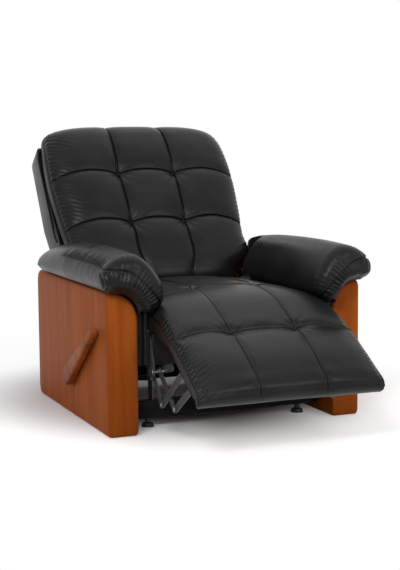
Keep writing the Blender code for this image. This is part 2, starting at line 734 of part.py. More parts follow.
def shell_loft(inset, overrun):
    """The back's outer cover, or its hollow where inset is the wall."""
    start, end = SHELL_START - overrun, SHELL_END - inset
    marks = [start, SHELL_START + OVERRUN]
    marks += [SHELL_STEP - SHELL_STEP_LENGTH / 2, SHELL_STEP + SHELL_STEP_LENGTH / 2]
    marks += [SHELL_STEP + (end - SHELL_STEP) * share for share in (0.3, 0.55, 0.78)]
    marks += [end - SHELL_CORNER * share for share in (2.0, 1.0, 0.5, 0.15, 0.0)]
    rings = []
    for s in marks:
        share = (s - SHELL_START) / (SHELL_END - SHELL_START)
        wide = SHELL_LOW_HALF_WIDTH + (SHELL_HALF_WIDTH - SHELL_LOW_HALF_WIDTH) * ease(
            s, SHELL_STEP - SHELL_STEP_LENGTH, SHELL_STEP + SHELL_STEP_LENGTH
        )
        depth = SHELL_DEPTH_LOW + (SHELL_DEPTH_TOP - SHELL_DEPTH_LOW) * max(share, 0.0)
        end_round = min(max((s - (end - SHELL_CORNER)) / SHELL_CORNER, 0.0), 1.0)
        depth -= inset + SHELL_CORNER * (1 - math.sqrt(1 - end_round ** 2))
        wide -= inset + SHELL_CORNER / 2 * (1 - math.sqrt(1 - end_round ** 2))
        front, rear = BACK_FLAT - GAP + overrun, BACK_FLAT - GAP - depth
        corners = ((wide, front), (wide, rear), (-wide, rear), (-wide, front))
        outline = rounded(corners, (GAP * 4, SHELL_CORNER, SHELL_CORNER, GAP * 4), 5)
        ring = []
        for x, c in outline:
            droop = SHELL_DROOP * (abs(x) / SHELL_HALF_WIDTH) ** 4 * ease(share, 0.55, 1.0)
            ring.append((x, *back(s - droop, c)))
        rings.append(ring)
    return loft(rings)


def back_shell():
    part = add_part("back_shell", shell_loft(0.0, 0.0), "back", "leather")
    combine(part, shell_loft(SHELL_WALL, OVERRUN), "DIFFERENCE")


def back_frame():
    half = SHELL_LOW_HALF_WIDTH - SHELL_WALL - GAP
    outline = [(-half, FRAME_START), (half, FRAME_START), (half, FRAME_END), (-half, FRAME_END)]
    wide = FRAME_OPENING_HALF_WIDTH
    low, high = FRAME_OPENING_START, FRAME_OPENING_END
    hole = [(-wide, low), (wide, low), (wide, high), (-wide, high)]
    corner = BACK_BRACKET_WIDTH
    flat = plate(rounded(outline, [corner] * 4), 0, FRAME_THICKNESS, [rounded(hole, [corner] * 4)], GAP * 4)
    front = BACK_FLAT - 2 * GAP - 2 * SPRING_RADIUS
    depth = front - GAP - FRAME_THICKNESS / 2
    y, z = back(0, depth)
    # The flat's own X, Y and Z turn to run forward, across and up the back.
    turn = Matrix((
        (0, 1, 0, 0),
        (BACK_FORWARD.x, 0, BACK_UP.x, y),
        (BACK_FORWARD.y, 0, BACK_UP.y, z),
        (0, 0, 0, 1),
    ))
    flat.transform(turn)
    add_part("back_frame", flat, "back", "pine")


def back_bracket(name, side):
    rear = BACK_FLAT - 2 * GAP - 2 * SPRING_RADIUS - GAP - FRAME_THICKNESS - GAP
    ear, width = BACK_BRACKET_EAR, BACK_BRACKET_WIDTH
    corners = (
        (ear, ear), (-ear, ear), (-ear, rear - width), (BACK_BRACKET_TOP, rear - width),
        (BACK_BRACKET_TOP, rear), (ear, rear),
    )
    radii = (ear - GAP, ear - GAP, width / 2, width / 4, width / 4, width / 4)
    outline = [back(s, c) for s, c in rounded(corners, radii)]
    mesh = plate(outline, side * LAYER_BACK_BRACKET, STRAP, [circle(BACK_PIVOT, HOLE_RADIUS)])
    add_part(name + "_back_bracket", mesh, "back", "steel")


# Seat frame

def mechanism_plate(name, side):
    ear, lobe = PLATE_EAR_RADIUS, PLATE_LOBE_RADIUS
    hub = HANDLE_AXIS
    corners = (
        (BACK_PIVOT[0] + ear, BACK_PIVOT[1] + ear), (BACK_PIVOT[0] - ear, BACK_PIVOT[1] + ear),
        (BACK_PIVOT[0] - ear * 1.6, PLATE_TOP), (LINK_A[0] - lobe / 2, PLATE_TOP),
        (LINK_D[0] - lobe, LINK_D[1] + lobe * 1.5), (LINK_D[0] - lobe, LINK_D[1] - lobe),
        (LINK_A[0] + lobe, LINK_A[1] - lobe), (LINK_A[0] + lobe * 3, PLATE_BOTTOM),
        (hub[0] - ear * 2, PLATE_BOTTOM), (hub[0] - ear, hub[1] - ear), (hub[0] + ear, hub[1] - ear),
        (hub[0] + ear * 2, PLATE_BOTTOM), (BACK_PIVOT[0], PLATE_BOTTOM + ear),
    )
    round_ear = ear * 0.95
    radii = (
        round_ear, ear * 0.6, ear * 0.6, lobe * 0.6, lobe * 0.6, lobe * 0.7, lobe * 0.7, ear * 0.6, ear * 0.6,
        ear * 0.7, ear * 0.7, ear * 0.6, ear,
    )
    holes = [circle(place, HOLE_RADIUS) for place in (BACK_PIVOT, LINK_A, LINK_D)]
    holes.append(circle(hub, SHAFT_RADIUS + PIN_CLEARANCE))
    mesh = plate(rounded(corners, radii), side * MECHANISM_X, MECHANISM_THICKNESS, holes)
    add_part(name + "_mechanism_plate", mesh, "root", "steel")


def support_arm(name, side):
    """The arm that carries the front pivots and stands on the front floor rail."""
    tip, elbow, half = Vector(ARM_TIP), Vector(ARM_ELBOW), SUPPORT_HALF_WIDTH
    along = (elbow - tip).normalized()
    up = Vector((-along.y, along.x))
    foot_rear = FRONT_FLOOR_RAIL_Y + ARM_FOOT_WIDTH / 2
    foot_front = FRONT_FLOOR_RAIL_Y - ARM_FOOT_WIDTH / 4
    corners = (
        tip - along * half + up * half, tip - along * half - up * half,
        (elbow.x - half, (elbow - up * half).y), (foot_front, SUPPORT_TOP), (foot_rear, SUPPORT_TOP),
        elbow + along * half * 2 + up * half,
    )
    radii = (half * 0.95, half * 0.95, half, GAP * 4, GAP * 4, half)
    outline = rounded([tuple(corner) for corner in corners], radii)
    holes = [circle(place, HOLE_RADIUS) for place in (LINK_A, LINK_D)]
    mesh = plate(outline, side * LAYER_ARM, STRAP, holes)
    add_part(name + "_support_arm", mesh, "root", "steel")


def seat_frame():
    plate_outer = MECHANISM_X + MECHANISM_THICKNESS / 2
    plate_inner = MECHANISM_X - MECHANISM_THICKNESS / 2
    low = RAIL_TOP - RAIL_DEPTH
    for name, side in SIDES:
        ends = sorted((side * (plate_outer + GAP), side * (PANEL_INNER - GAP)))
        mesh = box((ends[0], SIDE_RAIL_FRONT, low), (ends[1], SIDE_RAIL_REAR, RAIL_TOP), RAIL_EDGE)
        add_part(name + "_seat_rail", mesh, "root", "black")
    reach = plate_inner - GAP
    half = REAR_SEAT_RAIL_THICKNESS / 2
    low_corner = (-reach, REAR_SEAT_RAIL_Y - half, low)
    mesh = box(low_corner, (reach, REAR_SEAT_RAIL_Y + half, RAIL_TOP), RAIL_EDGE)
    add_part("seat_rear_rail", mesh, "root", "pine")
    half = FRONT_BOARD_THICKNESS / 2
    low_corner = (-reach, FRONT_BOARD_Y - half, FRONT_BOARD_BOTTOM)
    mesh = box(low_corner, (reach, FRONT_BOARD_Y + half, RAIL_TOP), RAIL_EDGE)
    add_part("seat_front_board", mesh, "root", "leather")


def floor_rails():
    reach, half = PANEL_INNER - GAP, FLOOR_RAIL_THICKNESS / 2
    for name, y, top in (
        ("front", FRONT_FLOOR_RAIL_Y, FLOOR_RAIL_TOP), ("rear", REAR_FLOOR_RAIL_Y, REAR_FLOOR_BOARD_TOP),
    ):
        mesh = box((-reach, y - half, FLOOR_RAIL_BOTTOM), (reach, y + half, top), RAIL_EDGE)
        add_part(name + "_floor_rail", mesh, "root", "black")
        for label, side in SIDES:
            add_part(name + "_" + label + "_glide", glide(side * GLIDE_X, y), "root", "rubber")


def glide(x, y):
    top = FLOOR_RAIL_BOTTOM - GAP
    profile = (
        (0, 0), (0, GLIDE_RADIUS), (GLIDE_FOOT_HEIGHT, GLIDE_RADIUS * 0.85),
        (GLIDE_FOOT_HEIGHT * 1.3, GLIDE_NECK_RADIUS), (top, GLIDE_NECK_RADIUS), (top, 0),
    )
    mesh = turned(profile, (0, 0))
    mesh.transform(Matrix.Translation((x, y, 0)) @ Matrix.Rotation(math.radians(-90), 4, "Y"))
    return mesh


def wave(start, end):
    """Places along a sinuous wire and its swing to each side, between two ends."""
    turns = max(round((end - start) / SPRING_PITCH), 1)
    places = [(start, 0.0)]
    for turn in range(turns):
        for half, sign in ((0, 1), (1, -1)):
            for along, swing in SPRING_BEND_SHARES:
                share = (turn + half / 2 + along) / turns
                places.append((start + (end - start) * share, sign * swing * SPRING_SWING))
    return places + [(end, 0.0)]


def seat_springs():
    height = RAIL_TOP + GAP + SPRING_RADIUS
    for number, share in enumerate(SEAT_SPRING_X_SHARES, 1):
        x = share * SEAT_HALF_WIDTH
        places = wave(FRONT_BOARD_Y, REAR_SEAT_RAIL_Y)
        mesh = tube([(x + swing, y, height) for y, swing in places], SPRING_RADIUS)
        add_part(f"seat_spring_{number}", mesh, "root", "steel")


def back_springs():
    front = BACK_FLAT - 2 * GAP - 2 * SPRING_RADIUS
    reach = FRAME_OPENING_HALF_WIDTH + BACK_BRACKET_WIDTH / 2
    for number, share in enumerate(BACK_SPRING_SHARES, 1):
        s = FRAME_OPENING_START + (FRAME_OPENING_END - FRAME_OPENING_START) * share
        places = wave(-reach, reach)
        mesh = tube([(x, *back(s + swing, front + SPRING_RADIUS)) for x, swing in places], SPRING_RADIUS)
        add_part(f"back_spring_{number}", mesh, "back", "steel")


# Linkage

def strap(a, b, side, layer, holes):
    outline = capsule(a, b, LINK_HALF_WIDTH, LINK_HALF_WIDTH)
    return plate(outline, side * layer, STRAP, [circle(hole, HOLE_RADIUS) for hole in holes])


def headed_pin(centre, side, root, tip, head_radius):
    """A pin from inside its own link to a head past the next one."""
    grow = math.copysign(HEAD_HEIGHT, tip - root)
    profile = (
        (root, 0), (root, PIN_RADIUS), (tip, PIN_RADIUS), (tip, head_radius),
        (tip + grow, head_radius), (tip + grow, 0),
    )
    return turned(mirrored(profile, side), centre)


def linkage(name, side):
    half, plate_outer = STRAP / 2, MECHANISM_X + MECHANISM_THICKNESS / 2
    rear = strap(LINK_A, LINK_B, side, LAYER_UPPER_REAR, (LINK_A, LINK_B))
    part = add_part(name + "_upper_rear_link", rear, "upper_rear_links", "steel")
    if side < 0:
        lug = plate(
            capsule(LINK_A, LUG_PIN, LINK_HALF_WIDTH * 0.9, LUG_HALF_WIDTH), side * LAYER_UPPER_REAR,
            STRAP * 0.96, [circle(LINK_A, HOLE_RADIUS * 1.2)],
        )
        combine(part, lug, "UNION")
        pin = headed_pin(LUG_PIN, side, LAYER_UPPER_REAR, LAYER_DRIVE - half - GAP, HEAD_RADIUS)
        combine(part, pin, "UNION")
    front = strap(LINK_B, LINK_C, side, LAYER_UPPER_FRONT, (LINK_B,))
    part = add_part(name + "_upper_front_link", front, "upper_front_links", "steel")
    pin = headed_pin(LINK_C, side, LAYER_UPPER_FRONT, LAYER_LOWER_REAR - half - GAP, HEAD_RADIUS)
    combine(part, pin, "UNION")
    rear = strap(LINK_D, LINK_E, side, LAYER_LOWER_REAR, (LINK_D, LINK_E))
    add_part(name + "_lower_rear_link", rear, "lower_rear_links", "steel")
    front = strap(LINK_E, LINK_G, side, LAYER_LOWER_FRONT, (LINK_E,))
    part = add_part(name + "_lower_front_link", front, "lower_front_links", "steel")
    pin = headed_pin(LINK_G, side, LAYER_LOWER_FRONT, LAYER_LOWER_REAR + half + GAP, SLOT_HEAD_RADIUS)
    combine(part, pin, "UNION")
    for label, place in (("a", LINK_A), ("d", LINK_D)):
        mesh = rivet(side, place, plate_outer + GAP, LAYER_ARM - half - GAP)
        add_part(f"{name}_pivot_{label}", mesh, "root", "zinc")
    mesh = rivet(side, LINK_B, LAYER_UPPER_REAR + half + GAP, LAYER_UPPER_FRONT - half - GAP)
    add_part(name + "_rivet_b", mesh, "upper_rear_links", "zinc")
    mesh = rivet(side, LINK_E, LAYER_LOWER_REAR + half + GAP, LAYER_LOWER_FRONT - half - GAP)
    add_part(name + "_rivet_e", mesh, "lower_rear_links", "zinc")
    mesh = rivet(side, BACK_PIVOT, plate_outer + GAP, LAYER_BACK_BRACKET - half - GAP)
    add_part(name + "_back_pivot", mesh, "root", "zinc")


def footrest_bracket(name, side):
    """The angle under the footrest board that carries the pins at C and G."""
    corners = (
        (BRACKET_START, -GAP), (BRACKET_START, -BRACKET_DROP),
        (BRACKET_END, -BRACKET_DROP), (BRACKET_END, -GAP),
    )
    radii = (GAP, BRACKET_DROP * 0.7, BRACKET_DROP * 0.7, GAP)
    outline = [foot(t, h) for t, h in rounded(corners, radii)]
    t, h = foot_place(LINK_G)
    slot = capsule((t - SLOT_BACK, h), (t + SLOT_AHEAD, h), SLOT_HALF_WIDTH, SLOT_HALF_WIDTH, 6)
    holes = [circle(LINK_C, HOLE_RADIUS), [foot(*place) for place in slot]]
    part = add_part(
        name + "_footrest_bracket", plate(outline, side * LAYER_LOWER_REAR, STRAP, holes), "footrest", "steel"
    )
    ends = sorted((side * (LAYER_LOWER_REAR + STRAP / 4), side * (LAYER_LOWER_REAR - FLANGE_WIDTH)))
    low = (ends[0], BRACKET_START + GAP * 2, -GAP - FLANGE_THICKNESS)
    flange = box(low, (ends[1], BRACKET_END - GAP * 2, -GAP * 1.5))
    flange.transform(foot_matrix())
    combine(part, flange, "UNION")


def foot_matrix():
    """Turns (x, along, up) of the footrest into the chair's frame."""
    return Matrix((
        (1, 0, 0, 0),
        (0, FOOT_ALONG.x, FOOT_UP.x, FOOT_ORIGIN[0]),
        (0, FOOT_ALONG.y, FOOT_UP.y, FOOT_ORIGIN[1]),
        (0, 0, 0, 1),
    ))


def footrest_board():
    reach = BOARD_HALF_WIDTH
    mesh = box((-reach, BOARD_START, 0), (reach, BOARD_END, BOARD_THICKNESS), RAIL_EDGE)
    mesh.transform(foot_matrix())
    add_part("footrest_board", mesh, "footrest", "pine")


# Handle and drive

def handle():
    outer = PANEL_OUTER + 2 * GAP + ROSETTE_THICKNESS
    outline = capsule(HANDLE_AXIS, LEVER_TIP, HUB_RADIUS, LEVER_TIP_RADIUS, 12)
    mesh = plate(outline, -(outer + LEVER_THICKNESS / 2), LEVER_THICKNESS, (), LEVER_EDGE)
    add_part("handle", mesh, "handle", "lever")
    inner, face = PANEL_OUTER + GAP, PANEL_OUTER + GAP + ROSETTE_THICKNESS
    bore = SHAFT_RADIUS + PIN_CLEARANCE
    profile = (
        (-inner, bore), (-inner, ROSETTE_RADIUS), (-face + ROSETTE_THICKNESS / 3, ROSETTE_RADIUS),
        (-face, ROSETTE_RADIUS - ROSETTE_THICKNESS / 3), (-face, bore), (-inner, bore),
    )
    add_part("handle_rosette", turned(profile, HANDLE_AXIS, 28), "root", "lever")


def drive():
    half = STRAP / 2
    start = PANEL_OUTER + GAP + ROSETTE_THICKNESS
    profile = ((-start, 0), (-start, SHAFT_RADIUS), (-SHAFT_END, SHAFT_RADIUS), (-SHAFT_END, 0))
    part = add_part("torque_shaft", turned(profile, HANDLE_AXIS), "handle", "steel")
    crank = plate(
        capsule(HANDLE_AXIS, CRANK_PIN, LINK_HALF_WIDTH, DRIVE_HALF_WIDTH), -LAYER_UPPER_REAR, STRAP
    )
    combine(part, crank, "UNION")
    pin = headed_pin(CRANK_PIN, -1, LAYER_UPPER_REAR, LAYER_DRIVE - half - GAP, HEAD_RADIUS)
    combine(part, pin, "UNION")
    outline = capsule(CRANK_PIN, LUG_PIN, DRIVE_HALF_WIDTH, DRIVE_HALF_WIDTH)
    holes = [circle(place, HOLE_RADIUS) for place in (CRANK_PIN, LUG_PIN)]
    add_part("drive_link", plate(outline, -LAYER_DRIVE, STRAP, holes), "drive_link", "steel")


def panel_bore():
    """The shaft's way through the left panel."""
    radius = SHAFT_RADIUS + PIN_CLEARANCE
    ends = (-PANEL_OUTER - OVERRUN, -PANEL_INNER + OVERRUN)
    profile = ((ends[0], 0), (ends[0], radius), (ends[1], radius), (ends[1], 0))
    return turned(profile, HANDLE_AXIS)


body("root", (0, 0))
body("back", BACK_PIVOT, "root")
body("footrest", KNEE, "root")
body("handle", HANDLE_AXIS, "root")
body("drive_link", CRANK_PIN, "handle")
body("upper_rear_links", LINK_A, "root")
body("upper_front_links", LINK_B, "upper_rear_links")
body("lower_rear_links", LINK_D, "root")
body("lower_front_links", LINK_E, "lower_rear_links")

for side_name, side_sign in SIDES:
    panel = side_panel(side_name, side_sign)
    if side_sign < 0:
        combine(panel, panel_bore(), "DIFFERENCE")
    arm_pad(side_name, side_sign)
    mechanism_plate(side_name, side_sign)
    support_arm(side_name, side_sign)
    back_bracket(side_name, side_sign)
    footrest_bracket(side_name, side_sign)
    linkage(side_name, side_sign)

seat_cushion()
knee_roll()
footrest_pad()
footrest_board()
back_cushion()
back_shell()
back_frame()
seat_frame()
floor_rails()
seat_springs()
back_springs()
handle()
drive()
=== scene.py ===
# %% [markdown]
# # A leather recliner with cherry side panels
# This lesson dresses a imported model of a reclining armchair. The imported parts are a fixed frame:
# nothing in it moves here. Soft parts get new pieces that take the place of their plain solids,
# and wood and metal parts get finishes made of nodes. Lengths are metres, Z is up, and the front
# of the chair faces -Y.

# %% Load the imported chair
import json
import math

import bmesh
import bpy
import numpy as np
from mathutils import Matrix, Vector

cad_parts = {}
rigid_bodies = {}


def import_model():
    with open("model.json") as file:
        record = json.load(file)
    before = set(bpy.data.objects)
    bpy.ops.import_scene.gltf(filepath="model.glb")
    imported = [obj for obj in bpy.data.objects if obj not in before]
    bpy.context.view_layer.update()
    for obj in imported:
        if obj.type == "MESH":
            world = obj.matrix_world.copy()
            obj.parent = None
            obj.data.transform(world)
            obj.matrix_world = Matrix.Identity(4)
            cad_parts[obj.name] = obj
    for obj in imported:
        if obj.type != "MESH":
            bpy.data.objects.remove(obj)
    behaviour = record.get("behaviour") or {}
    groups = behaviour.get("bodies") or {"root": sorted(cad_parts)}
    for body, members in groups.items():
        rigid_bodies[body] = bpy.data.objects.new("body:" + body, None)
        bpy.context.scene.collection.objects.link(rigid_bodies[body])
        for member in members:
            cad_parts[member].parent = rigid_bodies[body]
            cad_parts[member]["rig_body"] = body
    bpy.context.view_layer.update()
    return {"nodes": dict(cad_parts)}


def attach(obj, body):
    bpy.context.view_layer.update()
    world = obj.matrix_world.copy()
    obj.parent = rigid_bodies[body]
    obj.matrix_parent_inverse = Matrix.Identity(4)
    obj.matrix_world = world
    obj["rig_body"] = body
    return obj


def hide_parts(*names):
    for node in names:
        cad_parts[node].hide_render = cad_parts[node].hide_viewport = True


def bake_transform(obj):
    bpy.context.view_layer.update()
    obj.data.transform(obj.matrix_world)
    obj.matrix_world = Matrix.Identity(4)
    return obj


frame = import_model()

scene = bpy.context.scene
# The middle of the side panels along Y, from which the shapes below are measured
PANELS_Y = 0.0456

# %% [markdown]
# ## Where the camera stands
# The photograph was taken from the front left, a little above the seat. Lining the side panels up
# with the picture gave the camera's place and its three turns, written here as numbers. The picture
# is taller than wide, so the sensor's 36 mm span its 570 pixel height.

# %% Place the camera
PICTURE_HEIGHT = 570
FOCAL_PIXELS = 1284.7
SENSOR = 36.0
CAMERA_PLACE = (-1.7046, -4.2550 + PANELS_Y, 0.9585)
CAMERA_YAW = 22.256
CAMERA_PITCH = 6.594
CAMERA_ROLL = -0.462

camera_data = bpy.data.cameras.new("camera")
camera_data.sensor_width = SENSOR
camera_data.lens = FOCAL_PIXELS * SENSOR / PICTURE_HEIGHT
camera = bpy.data.objects.new("camera", camera_data)
scene.collection.objects.link(camera)
camera.matrix_world = (
    Matrix.Translation(CAMERA_PLACE)
    @ Matrix.Rotation(math.radians(-CAMERA_YAW), 4, "Z")
    @ Matrix.Rotation(math.radians(90 - CAMERA_PITCH), 4, "X")
    @ Matrix.Rotation(math.radians(CAMERA_ROLL), 4, "Z")
)
scene.camera = camera
print("lens", round(camera_data.lens, 1), "mm")

# %% [markdown]
# ## Helpers for every finish
# Colours are written as the hex values that a screen shows. A shader works with linear light, so
# one function turns them. Another adds a node with its settings and its links in one line, which
# keeps each recipe readable from top to bottom.

# %% Colours and nodes
def linear(code):
    values = [int(code[i:i + 2], 16) / 255 for i in (1, 3, 5)]
    return (*[v / 12.92 if v <= 0.04045 else ((v + 0.055) / 1.055) ** 2.4 for v in values], 1.0)


def add(tree, kind, settings=None, links=None):
    """Adds a shader node. A setting's key is a property's name, or an input's name or number.
    A link comes from an output, or from a node, which stands for its first output."""
    made = tree.nodes.new("ShaderNode" + kind)
    for key, value in (settings or {}).items():
        if isinstance(key, str) and hasattr(made, key):
            setattr(made, key, value)
        else:
            made.inputs[key].default_value = value
    for key, source in (links or {}).items():
        output = source.outputs[0] if isinstance(source, bpy.types.Node) else source
        tree.links.new(output, made.inputs[key])
    return made


def new_material(name):
    material = bpy.data.materials.new(name)
    material.use_nodes = True
    tree = material.node_tree
    tree.nodes.clear()
    return material, tree


def ramp(tree, factor, stops):
    """A colour ramp over hex colours at given places."""
    made = add(tree, "ValToRGB", links={"Fac": factor})
    elements = made.color_ramp.elements
    while len(elements) < len(stops):
        elements.new(0.5)
    for element, (place, code) in zip(elements, stops):
        element.position = place
        element.color = linear(code)
    return made

# %% [markdown]
# ## Black upholstery leather
# The cover is corrected-grain cowhide: dyed through, sprayed with a black pigment coat and pressed
# with a fine pebble grain. The coat gives a soft, broad sheen that breaks up on the grain, with
# smoother and rougher clouds where the hide was stretched. The pebbles are about 2 mm across, less
# than a pixel here, so a second, coarser wrinkle of about 9 mm carries the look from afar.
# The pattern reads each point's place at rest, kept as an attribute, so that it stays put when a
# cushion bends. A second attribute holds how far a point is from the nearest seam, plus one metre,
# so that a piece without it is all open leather. Within about 2 mm of a seam a bump sinks a groove,
# and the colour there is darkened to near black as painted shade in the groove.

# %% Leather
PEBBLE = 0.0022
WRINKLE = 0.009
CLOUD = 0.12
# Near-black colour painted into the seam grooves as shade
SEAM_SHADE = "#030303"
SEAM_CORE, SEAM_DARK = 0.0012, 0.0028
SEAM_FAR = 1.0
SEAM_DEPTH, WRINKLE_DEPTH, PEBBLE_DEPTH = 0.0015, 0.0012, 0.0003


def leather(name, dark, light, shine):
    material, tree = new_material(name)
    place = add(tree, "Attribute", {"attribute_name": "rest_place"}).outputs["Vector"]
    clouds = add(
        tree, "TexNoise",
        {"Scale": 1 / CLOUD, "Detail": 4.0, "Roughness": 0.6}, {"Vector": place},
    )
    pebbles = add(
        tree, "TexVoronoi",
        {"feature": "SMOOTH_F1", "Scale": 1 / PEBBLE, "Smoothness": 0.4}, {"Vector": place},
    )
    wrinkles = add(
        tree, "TexNoise",
        {"Scale": 1 / WRINKLE, "Detail": 3.0, "Roughness": 0.55, "Distortion": 0.4},
        {"Vector": place},
    )
    stored = add(tree, "Attribute", {"attribute_name": "seam_place"}).outputs["Fac"]
    offset = add(tree, "Math", {"operation": "SUBTRACT", 1: SEAM_FAR}, {0: stored})
    distance = add(tree, "Math", {"operation": "ABSOLUTE"}, {0: offset})
    groove = add(
        tree, "MapRange",
        {"interpolation_type": "SMOOTHSTEP", "From Min": SEAM_CORE, "From Max": SEAM_DARK},
        {"Value": distance},
    )
    hide = ramp(tree, clouds, [(0.3, dark), (0.7, light)])
    # At a seam the hide's colour goes to near black: painted shade in the groove, on top of the bump
    # that sinks it
    colour = add(
        tree, "Mix",
        {"data_type": "RGBA", 6: linear(SEAM_SHADE)}, {"Factor": groove, 7: hide},
    ).outputs[2]
    rough = add(
        tree, "MapRange",
        {"From Min": 0.3, "From Max": 0.7, "To Min": shine - 0.05, "To Max": shine + 0.07},
        {"Value": clouds},
    )
    sunk = add(tree, "Bump", {"Strength": 0.8, "Distance": SEAM_DEPTH}, {"Height": groove})
    coarse = add(
        tree, "Bump",
        {"Strength": 0.5, "Distance": WRINKLE_DEPTH}, {"Height": wrinkles, "Normal": sunk},
    )
    fine = add(
        tree, "Bump",
        {"Strength": 0.45, "Distance": PEBBLE_DEPTH}, {"Height": pebbles, "Normal": coarse},
    )
    surface = add(
        tree, "BsdfPrincipled",
        {"IOR": 1.3, "Specular IOR Level": 0.36},
        {"Base Color": colour, "Roughness": rough, "Normal": fine},
    )
    add(tree, "OutputMaterial", links={"Surface": surface})
    return material


BLACK_LEATHER = leather("corrected_grain_black_leather", "#121212", "#1b1b1b", 0.32)
print("finish:", BLACK_LEATHER.name)

# %% [markdown]
# ## Stained cherry wood
# The side panels are cherry veneer with an orange-brown stain under satin lacquer. The grain runs
# upright: long, thin pores, drawn 1.6 mm wide and 70 mm long as real ones are too fine to show,
# inside broader bands where growth rings come to the surface. Turned to run along the lever, the
# same recipe makes the lever's wood. Lacquer gives it a low, even shine over the colour.

# %% Wood
PORE_WIDTH = 0.0016
PORE_LENGTH = 0.07
BAND_WIDTH = 0.045
BAND_LENGTH = 0.55
PORE_DEPTH = 0.0004


def wood(name, dark, middle, light, shine, turn=(0, 0, 0)):
    """Wood with its grain along Z, or along Z turned by these angles."""
    material, tree = new_material(name)
    place = add(tree, "TexCoord").outputs["Object"]
    turned = add(tree, "Mapping", {"Rotation": turn}, {"Vector": place})
    bands_at = add(
        tree, "Mapping", {"Scale": (1 / BAND_WIDTH, 1 / BAND_WIDTH, 1 / BAND_LENGTH)},
        {"Vector": turned},
    )
    bands = add(
        tree, "TexNoise",
        {"Scale": 1.0, "Detail": 3.0, "Roughness": 0.5, "Distortion": 0.6}, {"Vector": bands_at},
    )
    pores_at = add(
        tree, "Mapping", {"Scale": (1 / PORE_WIDTH, 1 / PORE_WIDTH, 1 / PORE_LENGTH)},
        {"Vector": turned},
    )
    pores = add(
        tree, "TexNoise",
        {"Scale": 1.0, "Detail": 2.0, "Roughness": 0.6}, {"Vector": pores_at},
    )
    mixed = add(tree, "Math", {"operation": "MULTIPLY_ADD", 1: 0.35}, {0: pores, 2: bands})
    colour = ramp(tree, mixed, [(0.48, dark), (0.66, middle), (0.86, light)])
    bump = add(tree, "Bump", {"Strength": 0.12, "Distance": PORE_DEPTH}, {"Height": pores})
    surface = add(
        tree, "BsdfPrincipled",
        {"Roughness": shine, "IOR": 1.3, "Specular IOR Level": 0.06},
        {"Base Color": colour, "Normal": bump},
    )
    add(tree, "OutputMaterial", links={"Surface": surface})
    return material


CHERRY = wood("stained_cherry_satin_lacquer", "#8a4214", "#964a18", "#a25520", 0.44)
ALONG_LEVER, ALONG_RAIL = (math.radians(50), 0, 0), (0, math.radians(90), 0)
LEVER_WOOD = wood("stained_beech_lever", "#7a3d18", "#8c4a20", "#9b582c", 0.38, ALONG_LEVER)
BLACK_WOOD = wood("black_stained_rail", "#1a1a1a", "#222222", "#2b2a2a", 0.5, ALONG_RAIL)
FRAME_WOOD = wood("planed_pine_frame", "#b58f5e", "#c9a574", "#d8b98b", 0.6, ALONG_RAIL)
print("finishes:", CHERRY.name, LEVER_WOOD.name, FRAME_WOOD.name)

# %% [markdown]
# ## Painted steel, zinc and rubber
# The links are stamped steel with a black baked paint that shows a slight orange-peel. Rivets and
# pins are zinc plated, bright but not mirror smooth. The glides are moulded black rubber, dull and
# faintly mottled by dust.

# %% Metal and rubber
def speckled(name, dark, light, rough, metallic, grain, depth):
    """A finish whose colour and surface vary over grains of one size."""
    material, tree = new_material(name)
    place = add(tree, "TexCoord").outputs["Object"]
    mottle = add(tree, "TexNoise", {"Scale": 1 / (grain * 12), "Detail": 4.0}, {"Vector": place})
    bumps = add(tree, "TexNoise", {"Scale": 1 / grain, "Detail": 2.0}, {"Vector": place})
    colour = ramp(tree, mottle, [(0.3, dark), (0.7, light)])
    roughness = add(
        tree, "MapRange",
        {"From Min": 0.3, "From Max": 0.7, "To Min": rough - 0.06, "To Max": rough + 0.06},
        {"Value": mottle},
    )
    normal = add(tree, "Bump", {"Strength": 0.3, "Distance": depth}, {"Height": bumps})
    surface = add(
        tree, "BsdfPrincipled", {"Metallic": metallic},
        {"Base Color": colour, "Roughness": roughness, "Normal": normal},
    )
    add(tree, "OutputMaterial", links={"Surface": surface})
    return material


PAINTED_STEEL = speckled("black_baked_paint_steel", "#3a3b3e", "#4a4c4f", 0.42, 0.0, 0.0015, 0.0001)
BRIGHT_ZINC = speckled("bright_zinc_plate", "#b9bcc0", "#d2d5d8", 0.3, 1.0, 0.001, 0.00005)
BLACK_RUBBER = speckled("moulded_black_rubber", "#161616", "#202020", 0.6, 0.0, 0.002, 0.0002)
print("finishes:", PAINTED_STEEL.name, BRIGHT_ZINC.name, BLACK_RUBBER.name)

# %% [markdown]
# ## Smooth copies of the hard parts
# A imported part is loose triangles, each shaded flat, so a round edge shows its facets. A part keeps
# its shape in a copy whose doubled points are merged and whose gentle edges are shaded smooth. The
# copy rides on the part's body and stands for it.

# %% Copy the hard parts
MERGE = 0.00001
SMOOTH_ANGLE = math.radians(38)
FLAT_ANGLE = math.radians(0.5)


def new_piece(name, mesh, material, body=None):
    """An object at the origin from a bmesh, with its finish, riding on a body."""
    data = bpy.data.meshes.new(name)
    mesh.to_mesh(data)
    mesh.free()
    data.materials.append(material)
    data.shade_smooth()
    piece = bpy.data.objects.new(name, data)
    scene.collection.objects.link(piece)
    if body:
        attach(piece, body)
    return piece


def smooth_copy(node, material):
    packed = frame["nodes"][node]
    mesh = bmesh.new()
    mesh.from_mesh(packed.data)
    bmesh.ops.remove_doubles(mesh, verts=mesh.verts, dist=MERGE)
    bmesh.ops.dissolve_limit(
        mesh, angle_limit=FLAT_ANGLE, verts=mesh.verts, edges=mesh.edges, delimit={"NORMAL"}
    )
    for edge in mesh.edges:
        edge.smooth = edge.is_manifold and edge.calc_face_angle(0) < SMOOTH_ANGLE
    piece = new_piece(node + "_finished", mesh, material, packed["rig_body"])
    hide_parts(node)
    return piece


